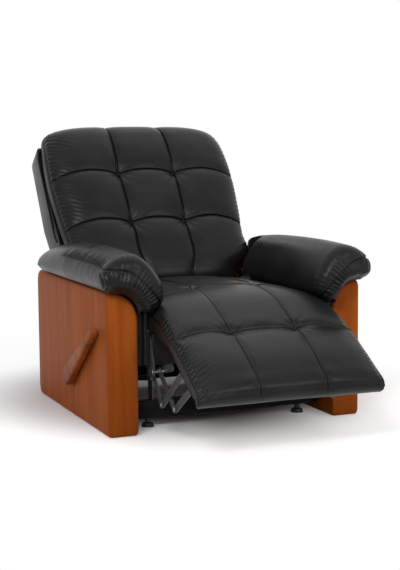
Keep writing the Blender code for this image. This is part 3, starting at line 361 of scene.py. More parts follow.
SIDES, ENDS = ("left", "right"), ("front", "rear")
PINS = ("pivot_a", "pivot_d", "rivet_b", "rivet_e", "back_pivot")
LINKS = (
    "mechanism_plate", "support_arm", "back_bracket", "footrest_bracket",
    "upper_rear_link", "upper_front_link", "lower_rear_link", "lower_front_link",
)
HARD_PARTS = {
    "cherry_wood": (CHERRY, ["left_side_panel", "right_side_panel"]),
    "black_wood": (
        BLACK_WOOD,
        [f"{end}_floor_rail" for end in ENDS] + [f"{side}_seat_rail" for side in SIDES],
    ),
    "lever_wood": (LEVER_WOOD, ["handle", "handle_rosette"]),
    "frame_wood": (FRAME_WOOD, ["seat_rear_rail", "footrest_board", "back_frame"]),
    "dark_steel": (
        PAINTED_STEEL,
        [f"{side}_{link}" for side in SIDES for link in LINKS]
        + [f"seat_spring_{i}" for i in range(1, 5)] + [f"back_spring_{i}" for i in range(1, 4)]
        + ["torque_shaft", "drive_link"],
    ),
    "zinc": (BRIGHT_ZINC, [f"{side}_{pin}" for side in SIDES for pin in PINS]),
    "rubber": (BLACK_RUBBER, [f"{end}_{side}_glide" for end in ENDS for side in SIDES]),
}
for slot, (material, nodes) in HARD_PARTS.items():
    for node in nodes:
        smooth_copy(node, material)
    print(slot, len(nodes), "parts")

# %% [markdown]
# ## A block of quads to sculpt from
# Each cushion starts as one cube, cut into a fine grid. The cuts are then slid to chosen places:
# close together along a seam, where the surface turns sharply, and wider apart on the open leather.
# A function then says where each grid point goes. A seam always falls on a row of points, so it
# stays crisp.

# %% Blocks and curves
def block(columns, rows, layers):
    """A box of quads whose cuts fall on the given places across, along and up."""
    mesh = bmesh.new()
    bmesh.ops.create_cube(mesh, size=1.0, matrix=Matrix.Translation((0.5, 0.5, 0.5)))
    for axis, places in enumerate((columns, rows, layers)):
        long_edges = [e for e in mesh.edges if abs((e.verts[0].co - e.verts[1].co)[axis]) > 0.5]
        bmesh.ops.subdivide_edges(mesh, edges=long_edges, cuts=len(places) - 2, use_grid_fill=True)
    for vert in mesh.verts:
        for axis, places in enumerate((columns, rows, layers)):
            steps = len(places) - 1
            vert.co[axis] = places[min(max(round(vert.co[axis] * steps), 0), steps)]
    return mesh


def grid_places(mesh):
    return np.array([vert.co for vert in mesh.verts], float)


def place_points(mesh, places):
    """Moves a block's points to places, and turns its faces outwards."""
    for vert, place in zip(mesh.verts, places.tolist()):
        vert.co = place
    bmesh.ops.recalc_face_normals(mesh, faces=mesh.faces)


BESIDE_SEAM = (0.0022, 0.0055, 0.011)


def spaced(marks, step):
    """Places between marks, about a step apart, with closer ones beside each inner mark."""
    places = {round(mark, 6) for mark in marks}
    for start, end in zip(marks, marks[1:]):
        low = start + (BESIDE_SEAM[-1] if start != marks[0] else 0)
        high = end - (BESIDE_SEAM[-1] if end != marks[-1] else 0)
        count = max(round((high - low) / step), 1)
        places |= {round(low + (high - low) * i / count, 6) for i in range(count + 1)}
    for mark in marks[1:-1]:
        places |= {round(mark + way * gap, 6) for gap in BESIDE_SEAM for way in (-1, 1)}
    return sorted(places)


def flow(places, values, at):
    """A smooth curve through values at places, read at any array of places."""
    places, values = np.array(places, float), np.array(values, float)
    slopes = np.gradient(values, places, axis=0)
    i = np.clip(np.searchsorted(places, at, side="right") - 1, 0, len(places) - 2)
    length = places[i + 1] - places[i]
    t = np.clip((at - places[i]) / length, 0, 1)
    return (
        (1 + 2 * t) * (1 - t) ** 2 * values[i] + t * (1 - t) ** 2 * length * slopes[i]
        + t * t * (3 - 2 * t) * values[i + 1] + t * t * (t - 1) * length * slopes[i + 1]
    )


def flow_pairs(places, pairs, at):
    return np.stack([flow(places, values, at) for values in np.transpose(pairs)], axis=1)


def ease(values, start, end):
    t = np.clip((values - start) / (end - start), 0, 1)
    return t * t * (3 - 2 * t)


def runs_of(points):
    """How far along a line of points each one lies."""
    return np.concatenate([[0.0], np.cumsum(np.linalg.norm(np.diff(points, axis=0), axis=1))])

# %% [markdown]
# ## What makes leather look pulled
# Stitching pulls a cover down to the stuffing. Beside a seam the leather falls away in a rounded
# valley, and where the thread gathers it, it puckers in short folds across the seam. At a tuft the
# folds run outwards like spokes.

# %% Seams, puckers and spokes
GROOVE_DEPTH, GROOVE_WIDTH = 0.0034, 0.0028
RIDGE_HEIGHT, RIDGE_PLACE, RIDGE_WIDTH = 0.0009, 0.0065, 0.0032
FOLD_START, FOLD_LEAST = 0.003, 0.004


def wander(values, seed, count=5):
    """A smooth, seeded wave between about -1 and 1."""
    draw = np.random.default_rng(seed)
    total = np.zeros_like(values)
    for _ in range(count):
        total += np.sin(values * draw.uniform(0.4, 1.6) + draw.uniform(0, 2 * math.pi))
    return total / count ** 0.5 / 1.2


def valley(distance, width):
    return np.exp(-np.abs(distance) / width)


def sewn_line(distance):
    """A narrow groove along a seam, with the two raised edges of the folded leather beside it."""
    groove = GROOVE_DEPTH * np.exp(-(distance / GROOVE_WIDTH) ** 2)
    ridge = RIDGE_HEIGHT * np.exp(-((np.abs(distance) - RIDGE_PLACE) / RIDGE_WIDTH) ** 2)
    return groove - ridge


def puckers(along, distance, spacing, reach, seed, slant=0.0):
    """Folds across a seam: high and low along it, fading with distance from it."""
    turned = along + slant * distance
    phase = turned * 2 * math.pi / spacing + 1.6 * wander(turned / spacing * 0.9, seed)
    length = reach * (0.75 + 0.35 * wander(along / spacing * 1.3, seed + 1))
    rise = 1 - np.exp(-np.abs(distance) / FOLD_START)
    fading = np.exp(-np.abs(distance) / np.maximum(length, FOLD_LEAST))
    return (0.5 + 0.5 * np.sin(phase)) * fading * rise


def spokes(across, along, folds, reach, seed):
    """Folds round a tuft, deepest a little way out."""
    radius = np.hypot(across, along)
    turn = np.arctan2(along, across)
    phase = folds * turn + 1.3 * wander(turn * 1.5, seed) + radius * 30 * wander(turn, seed + 2)
    window = (radius / (0.3 * reach)) * np.exp(1 - radius / (0.3 * reach))
    return (0.5 + 0.5 * np.cos(phase)) * window * np.clip(1 - radius / (1.6 * reach), 0, 1)

# %% [markdown]
# ## Letting the stuffing push
# A sewn cover holds its seams and swells between them. Cloth simulation does the same: the points
# on the seams and underneath are pinned, and pressure from inside pushes the rest out for twenty
# frames. How far a point may move is capped, so that the cushion keeps the size of its solid.

# %% Inflate a cover
FRAMES = 20
PRESSURE, ARM_PRESSURE = 4.0, 3.0
SEAM_REACH = 0.1


def triples(source, field):
    """Three numbers for each item of a mesh's list."""
    values = np.empty(len(source) * 3, np.float32)
    source.foreach_get(field, values)
    return values.reshape(-1, 3).astype(float)


def points_of(data):
    return triples(data.vertices, "co")


def set_points(data, places):
    data.vertices.foreach_set("co", places.astype(np.float32).ravel())
    data.update()


def outward(data):
    """Each point's direction away from the surface."""
    return triples(data.vertex_normals, "vector")


def evened(data, values, rounds=16):
    """Values averaged with those of neighbouring points, so that no single fold stands out."""
    ends = np.empty(len(data.edges) * 2, np.int32)
    data.edges.foreach_get("vertices", ends)
    a, b = ends.reshape(-1, 2).T
    count = np.bincount(a, minlength=len(values)) + np.bincount(b, minlength=len(values))
    for _ in range(rounds):
        total = np.bincount(a, values[b], len(values)) + np.bincount(b, values[a], len(values))
        values = 0.5 * values + 0.5 * total / np.maximum(count, 1)
    return values


def inflate(piece, held, pressure, cap):
    """Swells a piece between its held points, given as a weight for each point."""
    before, facing = points_of(piece.data), outward(piece.data)
    group = piece.vertex_groups.new(name="held")
    for level in np.unique(held):
        if level > 0:
            group.add(np.nonzero(held == level)[0].tolist(), float(level), "REPLACE")
    cloth = piece.modifiers.new("stuffing", "CLOTH")
    settings = cloth.settings
    settings.quality = 6
    settings.mass = 0.4
    settings.tension_stiffness = 25
    settings.compression_stiffness = 25
    settings.shear_stiffness = 12
    settings.bending_stiffness = 2
    settings.use_pressure = True
    settings.uniform_pressure_force = pressure
    settings.vertex_group_mass = group.name
    settings.effector_weights.gravity = 0
    for frame_number in range(1, FRAMES + 1):
        scene.frame_set(frame_number)
    posed = piece.evaluated_get(bpy.context.evaluated_depsgraph_get())
    after = points_of(posed.data)
    piece.modifiers.remove(cloth)
    piece.vertex_groups.remove(group)
    scene.frame_set(1)
    reach = np.clip(((after - before) * facing).sum(axis=1), 0, cap)
    reach = evened(piece.data, reach)
    set_points(piece.data, before + facing * reach[:, None])
    print(piece.name, "swelled by up to", round(float(reach.max()) * 1000, 1), "mm")


def press(piece, depth):
    """Moves each point inwards by its depth."""
    set_points(piece.data, points_of(piece.data) - outward(piece.data) * depth[:, None])


def keep(piece, name, kind, field, values):
    """Writes one value for each point of a piece, for its material to read."""
    kept = piece.data.attributes.new(name, kind, "POINT")
    kept.data.foreach_set(field, values.astype(np.float32).ravel())
    return kept


def refine(piece, sewing):
    """Rounds a cover to a grid twice as fine, and returns the finer grid's sewing places."""
    keep(piece, "sewing_place", "FLOAT_VECTOR", "vector", sewing)
    rounding = piece.modifiers.new("rounding", "SUBSURF")
    rounding.levels = rounding.render_levels = 1
    with bpy.context.temp_override(object=piece, active_object=piece):
        bpy.ops.object.modifier_apply(modifier=rounding.name)
    kept = piece.data.attributes["sewing_place"]
    finer = triples(kept.data, "vector")
    piece.data.attributes.remove(kept)
    return finer.T


def keep_rest(piece):
    keep(piece, "rest_place", "FLOAT_VECTOR", "vector", points_of(piece.data))


def keep_seam(piece, from_seam):
    reach = np.clip(from_seam, -SEAM_REACH, SEAM_REACH)
    keep(piece, "seam_place", "FLOAT", "value", SEAM_FAR + reach)


def finish_cover(piece, nodes, from_seam):
    keep_rest(piece)
    keep_seam(piece, from_seam)
    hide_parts(*nodes)
    print(piece.name, len(piece.data.polygons), "faces")

# %% [markdown]
# ## The back cushion
# The back is one stuffed cover, sewn into three columns and three rows. Thread at the four
# crossings pulls it down hardest. Its front rolls over the top edge, its top corners hang lower
# than its middle, and low down it narrows to pass between the arms. The grid's three places are
# across the back, up it, and from its underside to the face.

# %% Shape the back cushion
BACK_PIVOT = Vector((0.0, 0.230 + PANELS_Y, 0.400))
BACK_LEAN = math.radians(36.0)
UP_Y, UP_Z = math.sin(BACK_LEAN), math.cos(BACK_LEAN)
BACK_HALF = 0.366
BACK_LOW, BACK_TOP = -0.010, 0.745
BACK_ROWS = (0.2533, 0.4735)
COLUMN = 0.110
COLUMNS = (-COLUMN, COLUMN)
BACK_FLAT = -0.048
BACK_WIDTH = (
    (-0.01, 0.781), (0.032, 0.781), (0.09, 0.945), (0.21, 0.965), (0.31, 1.0), (0.655, 1.0),
    (0.69, 0.985), (0.715, 0.955), (0.733, 0.91), (0.745, 0.85),
)
BACK_FACE = (
    (-0.010, 0.045), (0.01, 0.062), (0.05, 0.074), (0.15, 0.078), (0.36, 0.079), (0.54, 0.079),
    (0.62, 0.074), (0.67, 0.061), (0.705, 0.038), (0.73, 0.009), (0.745, -0.020),
)
BACK_SIDE_SEAM = (
    (-0.010, 0.006), (0.05, 0.016), (0.30, 0.018), (0.56, 0.018), (0.65, 0.008), (0.71, -0.014),
    (0.745, -0.034),
)
BACK_DROOP = 0.016
BACK_TUCK = 0.012
# How far a row of stitches rises above the line through its tufts, across the cushion
ARCH = (
    (-1.0, -0.012), (-0.65, 0.010), (-0.30, 0.0), (0.0, 0.008), (0.30, 0.0), (0.65, 0.010),
    (1.0, -0.012),
)
ARCH_REACH = 0.09
SEAM_SPREAD, TUFT_SPREAD, GATHER = 0.015, 0.030, 0.05
GRID_STEP = 0.0066
BACK_FULLNESS = 4.5
PILLOW = 0.010
BACK_BULGE = 0.004
FIVE_LAYERS = (0.0, 0.2, 0.4, 0.6, 0.8, 1.0)
BACK_CELLS = (-0.05, *BACK_ROWS, 0.74)
# How deep a row, a column and a tuft are pulled down
BACK_PULLS = (0.008, 0.007, 0.026)


def on_back(across, up, out):
    """A place in the room from a place on the leaning back."""
    y = BACK_PIVOT.y + up * UP_Y - out * UP_Z
    z = BACK_PIVOT.z + up * UP_Z + out * UP_Y
    return np.stack([across, y, z], axis=1)


def read(table, at):
    return flow(*np.transpose(table), at)


def cell_place(values, marks):
    """Where values lie in their cell between two marks, from -1 to 1."""
    marks = np.array(marks)
    i = np.clip(np.searchsorted(marks, values, side="right") - 1, 0, len(marks) - 2)
    return np.clip(2 * (values - marks[i]) / (marks[i + 1] - marks[i]) - 1, -1, 1)


def pillow(across, along, columns, rows):
    """The swelling of each cell, one in its middle and nothing on the seams round it."""
    return ((1 - cell_place(across, columns) ** 4) * (1 - cell_place(along, rows) ** 4)) ** 0.7


def nearest(values, marks):
    return np.min([np.abs(values - mark) for mark in marks], axis=0)


def quilted(across, along, rows, pulls, edge):
    """How far the stitching pulls a face down, from its columns and rows of seams."""
    row_pull, column_pull, tuft_pull = pulls
    pulled = np.zeros_like(across)
    for row in rows:
        pull = row_pull * (0.62 + 0.38 * np.exp(-nearest(across, COLUMNS) / GATHER))
        pulled = np.maximum(pulled, pull * valley(along - row, SEAM_SPREAD) * edge)
    for column in COLUMNS:
        pull = column_pull * (0.75 + 0.25 * np.exp(-nearest(along, rows) / GATHER))
        pulled = np.maximum(pulled, pull * valley(across - column, SEAM_SPREAD) * edge)
    for column in COLUMNS:
        for row in rows:
            radius = np.hypot(across - column, along - row)
            pulled = np.maximum(pulled, tuft_pull * np.exp(-radius / TUFT_SPREAD))
    return pulled


back_sides = (-BACK_HALF, *COLUMNS, BACK_HALF)
back_columns = [place / BACK_HALF for place in spaced(back_sides, GRID_STEP)]
back_rows = spaced((BACK_LOW, *BACK_ROWS, BACK_TOP), GRID_STEP)
mesh = block(back_columns, back_rows, FIVE_LAYERS)
share, up, layer = grid_places(mesh).T
half_width = BACK_HALF * read(BACK_WIDTH, up)
seam = read(BACK_SIDE_SEAM, up)
crown = np.clip(1 - np.abs(share) ** BACK_FULLNESS, 0, 1) ** 0.5
face = seam + (read(BACK_FACE, up) - seam) * crown
out = BACK_FLAT + (face - BACK_FLAT) * layer
edge_pull = 0.35 + 0.65 * crown
on_top = ease(layer, 0.9, 1.0)
swelling = PILLOW * pillow(share * BACK_HALF, up, back_sides, BACK_CELLS)
pull = quilted(share * BACK_HALF, up, BACK_ROWS, BACK_PULLS, edge_pull)
out += (swelling * crown - pull) * on_top
bulge = BACK_BULGE * np.sin(math.pi * layer) - BACK_TUCK * (1 - layer) ** 5
wall = (np.abs(share) > 0.999) * bulge
across = share * half_width + np.sign(share) * wall
droop = BACK_DROOP * np.abs(share) ** 4 * ease(up, 0.46, BACK_TOP)
for row in BACK_ROWS:
    droop -= read(ARCH, share) * np.exp(-((up - row) / ARCH_REACH) ** 2)
place_points(mesh, on_back(across, up - droop, out))
back_sewing = np.stack([share * BACK_HALF, up, layer], axis=1)
back_cushion = new_piece("back_cover", mesh, BLACK_LEATHER)
print("back cover:", len(back_columns), "x", len(back_rows), "grid")

# %% Swell the back and sew its seams
ON_LINE = 0.001
BACK_SWELL = 0.009
TUFT_FOLD, RIM_FOLD, ROW_FOLD = 0.0026, 0.0062, 0.0012
TUFT_REACH, TUFT_SPOKES = 0.075, 10
# Of a line of puckers: the spacing, the reach, the seed and the slant
RIM_PUCKERS = (0.0190, 0.045, 21, 0.70)
ROW_PUCKERS = ((0.021, 0.014, 25), (0.023, 0.014, 27))
# The layer above which the rim is held, and how firmly
BACK_RIM = (0.79, 0.6)
BACK_SIDE = 0.06
# The sitter's right side of the cover is gathered harder in the photograph
CALM_SIDE = 0.35


def from_lines(x, along, layer, rows, half, depth):
    """How far each point is from the nearest seam: a column, a row, or the rim of the face."""
    lines = np.minimum(nearest(x, COLUMNS), nearest(along, rows))
    rim = half - np.abs(x)
    return np.where(layer > 0.99, np.minimum(lines, rim), (1 - layer) * depth)


def held_points(sewing, rows, half, rim_from, rim_hold):
    """How firmly each point is held: the seams and the underside fully, the rim in part."""
    x, along, layer = sewing.T
    sewn = (layer > 0.99) & (np.minimum(nearest(x, COLUMNS), nearest(along, rows)) < ON_LINE)
    rim = (layer > rim_from) & (np.abs(x) > half * 0.999)
    return np.where((layer < 0.01) | sewn, 1.0, np.where(rim, rim_hold, 0.0))


def tuft_folds(x, along, rows, depth, reach, seed):
    """The folds round all the tufts of a cover, each tuft with its own seed."""
    total = np.zeros_like(x)
    for i, column in enumerate(COLUMNS):
        for j, row in enumerate(rows):
            star = spokes(x - column, along - row, TUFT_SPOKES, reach, seed + 3 * i + j)
            total += depth * star
    return total


held = held_points(back_sewing, BACK_ROWS, BACK_HALF, *BACK_RIM)
inflate(back_cushion, held, PRESSURE, BACK_SWELL)

x, up, layer = refine(back_cushion, back_sewing)
on_face = ease(layer, 0.8, 1.0)
from_seam = from_lines(x, up, layer, BACK_ROWS, BACK_HALF, BACK_SIDE)
inset = BACK_HALF - np.abs(x)
folds = tuft_folds(x, up, BACK_ROWS, TUFT_FOLD, TUFT_REACH, 10)
middle_of_cell = 1 - 0.6 * np.abs(cell_place(up, BACK_CELLS)) ** 3
rim_folds = RIM_FOLD * puckers(up, inset, *RIM_PUCKERS)
folds += rim_folds * middle_of_cell * np.where(x < 0, 1.0, CALM_SIDE)
for row, kind in zip(BACK_ROWS, ROW_PUCKERS):
    folds += ROW_FOLD * puckers(x, np.abs(up - row), *kind)
press(back_cushion, (sewn_line(from_seam) + folds) * on_face)
finish_cover(back_cushion, ["back_cushion"], from_seam)
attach(back_cushion, "back")

# %% [markdown]
# ## The seat and footrest cover
# Seat and footrest share one long cover that turns over the knee of the chair. It is sewn in three
# columns, with a row of tufts on the seat and another at the knee. Each station along it holds
# three places seen from the side: the underside, the seam along the edge, and the middle of the
# top. A boxing band joins the edge seam to the underside.

# %% Shape the long cover
FOOT_PLACE = np.array((-0.582, 0.304))
FOOT_ANGLE = math.atan2(0.527, 0.850)
FOOT_ALONG = np.array((-math.cos(FOOT_ANGLE), -math.sin(FOOT_ANGLE)))
FOOT_UP = np.array((-math.sin(FOOT_ANGLE), math.cos(FOOT_ANGLE)))
SEAT_HALF = 0.305
LONG_STEP = 0.0068
SEAT_PILLOW = 0.004
LONG_PULLS = (0.004, 0.007, 0.019)
SIDE_BULGE, SIDE_DRAW, NOSE, HEM = 0.007, 0.006, 0.009, 0.013
# Where along the cover the seat's shape gives way to the footrest's
FULLER, WIDER, HEMMED = (0.42, 0.66), (0.50, 0.66), (0.30, 0.42)
WIDENING = 0.024


def foot(t, h):
    """A place along the footrest and above its board, along Y and Z."""
    return tuple(FOOT_PLACE + FOOT_ALONG * t + FOOT_UP * h)


# Each row: the underside, the edge seam and the top's middle, as places along Y and Z
STATIONS = (
    ((0.146, 0.352), (0.154, 0.384), (0.153, 0.416)),
    ((0.136, 0.3458), (0.141, 0.387), (0.139, 0.437)),
    ((0.050, 0.3458), (0.050, 0.388), (0.050, 0.457)),
    ((-0.092, 0.3458), (-0.092, 0.389), (-0.092, 0.466)),
    ((-0.296, 0.3458), (-0.296, 0.390), (-0.296, 0.466)),
    ((-0.375, 0.3458), (-0.385, 0.391), (-0.385, 0.457)),
    ((-0.445, 0.341), (-0.465, 0.383), (-0.470, 0.435)),
    ((-0.505, 0.331), (-0.535, 0.367), (-0.545, 0.400)),
    ((-0.556, 0.317), (-0.582, 0.345), (-0.595, 0.371)),
    (foot(-0.002, 0.0122), foot(0.004, 0.036), foot(0.000, 0.060)),
    (foot(0.04, 0.0122), foot(0.040, 0.040), foot(0.040, 0.073)),
    (foot(0.09, 0.0122), foot(0.090, 0.041), foot(0.090, 0.080)),
    (foot(0.145, 0.0122), foot(0.145, 0.043), foot(0.145, 0.082)),
    (foot(0.20, 0.0122), foot(0.203, 0.043), foot(0.203, 0.077)),
    (foot(0.243, 0.0122), foot(0.246, 0.044), foot(0.246, 0.069)),
    (foot(0.257, 0.006), foot(0.264, 0.041), foot(0.266, 0.058)),
    (foot(0.267, -0.002), foot(0.275, 0.031), foot(0.277, 0.042)),
)
SEAT_ROW, KNEE_ROW = 4, 9
tops = np.array([station[2] for station in STATIONS])
runs = runs_of(tops)
LENGTH = runs[-1]
LONG_ROWS = (runs[SEAT_ROW], runs[KNEE_ROW])
long_sides = (-SEAT_HALF, *COLUMNS, SEAT_HALF)
long_columns = [place / SEAT_HALF for place in spaced(long_sides, LONG_STEP)]
long_rows = spaced((0.0, *LONG_ROWS, LENGTH), LONG_STEP)
mesh = block(long_columns, long_rows, (0.0, 0.25, 0.5, 0.75, 1.0))
share, along, layer = grid_places(mesh).T
low, edge, top = (flow_pairs(runs, [station[i] for station in STATIONS], along) for i in range(3))
fullness = 2.1 + 2.6 * ease(along, *FULLER)
crown = np.clip(1 - np.abs(share) ** fullness, 0, 1) ** 0.5
face = edge + (top - edge) * crown[:, None]
side = low + (face - low) * layer[:, None]
lift = (top - low) / np.linalg.norm(top - low, axis=1)[:, None]
edge_pull = 0.35 + 0.65 * crown
on_top = ease(layer, 0.9, 1.0)
pull = quilted(share * SEAT_HALF, along, LONG_ROWS, LONG_PULLS, edge_pull)
long_cells = (-0.10, *LONG_ROWS, LENGTH + 0.06)
swelling = SEAT_PILLOW * pillow(share * SEAT_HALF, along, long_sides, long_cells)
side += lift * ((swelling * crown - pull) * on_top)[:, None]
at_side = np.abs(share) > 0.999
bulge = SIDE_BULGE * np.sin(math.pi * layer) - SIDE_DRAW * (1 - layer)
nose = NOSE * np.sin(math.pi * (0.15 + 0.7 * layer)) * (along > LENGTH - 0.0001)
side += FOOT_ALONG * nose[:, None]
across = share * SEAT_HALF * (1 + WIDENING * ease(along, *WIDER)) + np.sign(share) * bulge * at_side
hem = HEM * at_side * (1 - layer) * ease(along, *HEMMED) * ease(LENGTH - along, 0.02, 0.07)
side -= lift * hem[:, None]
down = flow_pairs(runs, np.gradient(tops, runs, axis=0), along)
down /= np.linalg.norm(down, axis=1)[:, None]
arch = 0.8 * read(ARCH, share) * np.exp(-((along - LONG_ROWS[1]) / ARCH_REACH) ** 2)
side -= down * (arch * layer)[:, None]
place_points(mesh, np.stack([across, side[:, 0] + PANELS_Y, side[:, 1]], axis=1))
long_sewing = np.stack([share * SEAT_HALF, along, layer], axis=1)
long_cover = new_piece("seat_and_footrest_cover", mesh, BLACK_LEATHER)
print("long cover:", round(LENGTH, 3), "m along the top")

# %% Swell the long cover and sew its seams
LONG_SWELL = 0.006
LONG_TUFT_FOLD, SEAT_RIM_FOLD, KNEE_FOLD = 0.0024, 0.0055, 0.0014
LONG_TUFT_REACH = 0.070
SEAT_RIM_PUCKERS, KNEE_PUCKERS = (0.0190, 0.032, 51, 0.5), (0.0190, 0.016, 55)
LONG_RIM = (0.74, 0.7)
LONG_SIDE = 0.05
WELT, WELT_PLACE, WELT_WIDTH = 0.002, 0.008, 0.004

held = held_points(long_sewing, LONG_ROWS, SEAT_HALF, *LONG_RIM)
inflate(long_cover, held, PRESSURE, LONG_SWELL)

x, along, layer = refine(long_cover, long_sewing)
on_face = ease(layer, 0.8, 1.0)
from_seam = from_lines(x, along, layer, LONG_ROWS, SEAT_HALF, LONG_SIDE)
folds = tuft_folds(x, along, LONG_ROWS, LONG_TUFT_FOLD, LONG_TUFT_REACH, 40)
inset = SEAT_HALF - np.abs(x)
rim_folds = SEAT_RIM_FOLD * puckers(along, inset, *SEAT_RIM_PUCKERS)
folds += rim_folds * np.where(x < 0, 1.0, 0.4)
folds -= WELT * np.exp(-((inset - WELT_PLACE) / WELT_WIDTH) ** 2)
folds += KNEE_FOLD * puckers(x, np.abs(along - LONG_ROWS[1]), *KNEE_PUCKERS)
press(long_cover, (sewn_line(from_seam) + folds) * on_face)
finish_cover(long_cover, ["seat_cushion", "knee_roll", "footrest_pad"], from_seam)
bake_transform(long_cover)

# %% [markdown]
# ## The arm pads
# Each arm is a plump pillow laid over its panel. It overhangs outside and inside, rides on the
# panel's rounded top, and ends in a rounded cap. One seam runs forward along its outer shoulder to
# a knot at the front corner. A second crosses the front from the knot, in an arc round the panel's
# top. The leather is gathered above the first and under the second. Behind, the arm's inner side
# is cut back, to leave room for the back. One arm is shaped, and the other is its mirror image.

# %% Shape an arm pad
PANEL_INNER, PANEL_FRONT = 0.351, -0.438
PANEL_HEIGHT, PANEL_ROUND = 0.470, 0.085
ARM_INNER, ARM_OUTER = 0.271, 0.483
ARM_LOW, ARM_HIGH = 0.403, 0.601
ARM_FRONT, ARM_REAR = -0.485, 0.334
ARM_CAP = 0.050
ARM_END_SHARES = (0.52, 0.78)
ARM_SECTION = (
    (0.84, 0.345), (0.94, 0.40), (0.99, 0.50), (1.00, 0.60), (0.97, 0.72), (0.89, 0.83),
    (0.77, 0.92), (0.62, 0.985), (0.47, 1.0), (0.31, 0.90), (0.16, 0.72), (0.055, 0.53),
    (0.0, 0.34), (0.0, 0.20), (0.06, 0.09), (0.15, 0.02), (0.27, 0.0), (0.345, 0.02),
)
ARM_CREST = ((0.0, 0.95), (0.25, 0.985), (0.5, 0.98), (0.72, 0.94), (0.88, 0.87), (1.0, 0.78))
REAR_NOTCH = (0.105, 0.175)
NOTCH_INNER, NOTCH_SLOPE = 0.3735, 0.04
CRESTED = (0.40, 0.62)
SHOULDER_HEIGHT = 0.775
BESIDE_SHOULDER = (0.003, 0.006, 0.010)
CAP_BULGE = 0.012
DRAWN_BACK, DRAWN_REACH = 0.93, 0.030
ABOVE_PANEL, OFF_PANEL, UNDER_PAD = 0.002, 0.0005, 0.0008


def panel_top(x):
    into = np.clip(PANEL_INNER + PANEL_ROUND - x, 0, PANEL_ROUND)
    return PANEL_HEIGHT - PANEL_ROUND + np.sqrt(PANEL_ROUND ** 2 - into ** 2)


section = np.array(ARM_SECTION)
section_runs = runs_of(section)
section_runs /= section_runs[-1]
SECTION_LENGTH = 0.50
SHOULDER = round(float(np.interp(SHOULDER_HEIGHT, section[3:9, 1], section_runs[3:9])), 4)
shoulder_gaps = [
    SHOULDER + way * gap / SECTION_LENGTH for gap in BESIDE_SHOULDER for way in (-1, 1)
]
arm_columns = sorted({*np.linspace(0, 1, 73).round(4), SHOULDER, *np.round(shoulder_gaps, 4)})
cap_turns = np.linspace(0, math.pi / 2, 13)
front_places = [ARM_FRONT + ARM_CAP * (1 - math.cos(turn)) for turn in cap_turns]
rear_places = [ARM_REAR - ARM_CAP * (1 - math.cos(turn)) for turn in cap_turns]
middle_places = np.arange(ARM_FRONT + ARM_CAP, ARM_REAR - ARM_CAP, GRID_STEP)
arm_rows = sorted({round(place, 5) for place in [*front_places, *rear_places, *middle_places]})
mesh = block(arm_columns, arm_rows, FIVE_LAYERS)
turn_share, y, layer = grid_places(mesh).T
near_end = np.clip(np.minimum(y - ARM_FRONT, ARM_REAR - y) / ARM_CAP, 0, 1)
end_share = np.where(y < 0, *ARM_END_SHARES)
swell = end_share + (1 - end_share) * np.sqrt(1 - (1 - near_end) ** 2)
crest = read(ARM_CREST, (y - ARM_FRONT) / (ARM_REAR - ARM_FRONT))
over = flow_pairs(section_runs, section, turn_share)
over_x = ARM_INNER + (ARM_OUTER - ARM_INNER) * over[:, 0]
crested = 1 + (crest - 1) * ease(over[:, 1], *CRESTED)
over_z = ARM_LOW + (ARM_HIGH - ARM_LOW) * over[:, 1] * crested
middle_x, middle_z = (ARM_INNER + ARM_OUTER) / 2, PANEL_HEIGHT + ARM_CAP / 2
over_x = middle_x + (over_x - middle_x) * swell
over_z = middle_z + (over_z - middle_z) * swell
on_panel = np.maximum(over_z, panel_top(over_x) + ABOVE_PANEL)
over_z = np.where(over_x > PANEL_INNER, on_panel, over_z)
first_x, last_x = (ARM_INNER + (ARM_OUTER - ARM_INNER) * section[end][0] for end in (0, -1))
outer_x = middle_x + (first_x - middle_x) * swell
inner_x = np.maximum(middle_x + (last_x - middle_x) * swell, PANEL_INNER + OFF_PANEL)
under_x = outer_x + (inner_x - outer_x) * turn_share
under_z = panel_top(under_x) + UNDER_PAD
arm_x = under_x + (over_x - under_x) * layer
arm_z = under_z + (over_z - under_z) * layer
round_cap = np.sin(math.pi * turn_share) ** 0.5
end_bulge = CAP_BULGE * np.sin(math.pi * layer) * round_cap
arm_y = y - end_bulge * (y < ARM_FRONT + 0.0001) + end_bulge * (y > ARM_REAR - 0.0001)
above = np.maximum(arm_z - PANEL_HEIGHT + PANEL_ROUND, 0)
from_panel = np.where(
    arm_x < PANEL_INNER + PANEL_ROUND,
    np.hypot(PANEL_INNER + PANEL_ROUND - arm_x, above) - PANEL_ROUND,
    arm_z - PANEL_HEIGHT,
)
drawn_back = DRAWN_BACK * (1 - ease(from_panel, 0.0, DRAWN_REACH)) * (arm_y < PANEL_FRONT)
arm_y = arm_y + (PANEL_FRONT - arm_y) * drawn_back
notch = NOTCH_INNER * ease(y, *REAR_NOTCH)
arm_x = np.maximum(arm_x, notch + NOTCH_SLOPE * (arm_x - ARM_INNER) * (notch > 0.01))
arm_sewing = np.stack([turn_share, y, layer], axis=1)
place_points(mesh, np.stack([-arm_x, arm_y + PANELS_Y, arm_z], axis=1))
left_arm = new_piece("left_arm_cover", mesh, BLACK_LEATHER)
print("arm cover:", len(arm_columns), "x", len(arm_rows), "grid")

# %% Swell the arm, gather it and mirror it
KNOT = (0.478, -0.430, 0.548)
SHOULDER_END = 0.080
FRONT_MIDDLE = (0.436, 0.385)
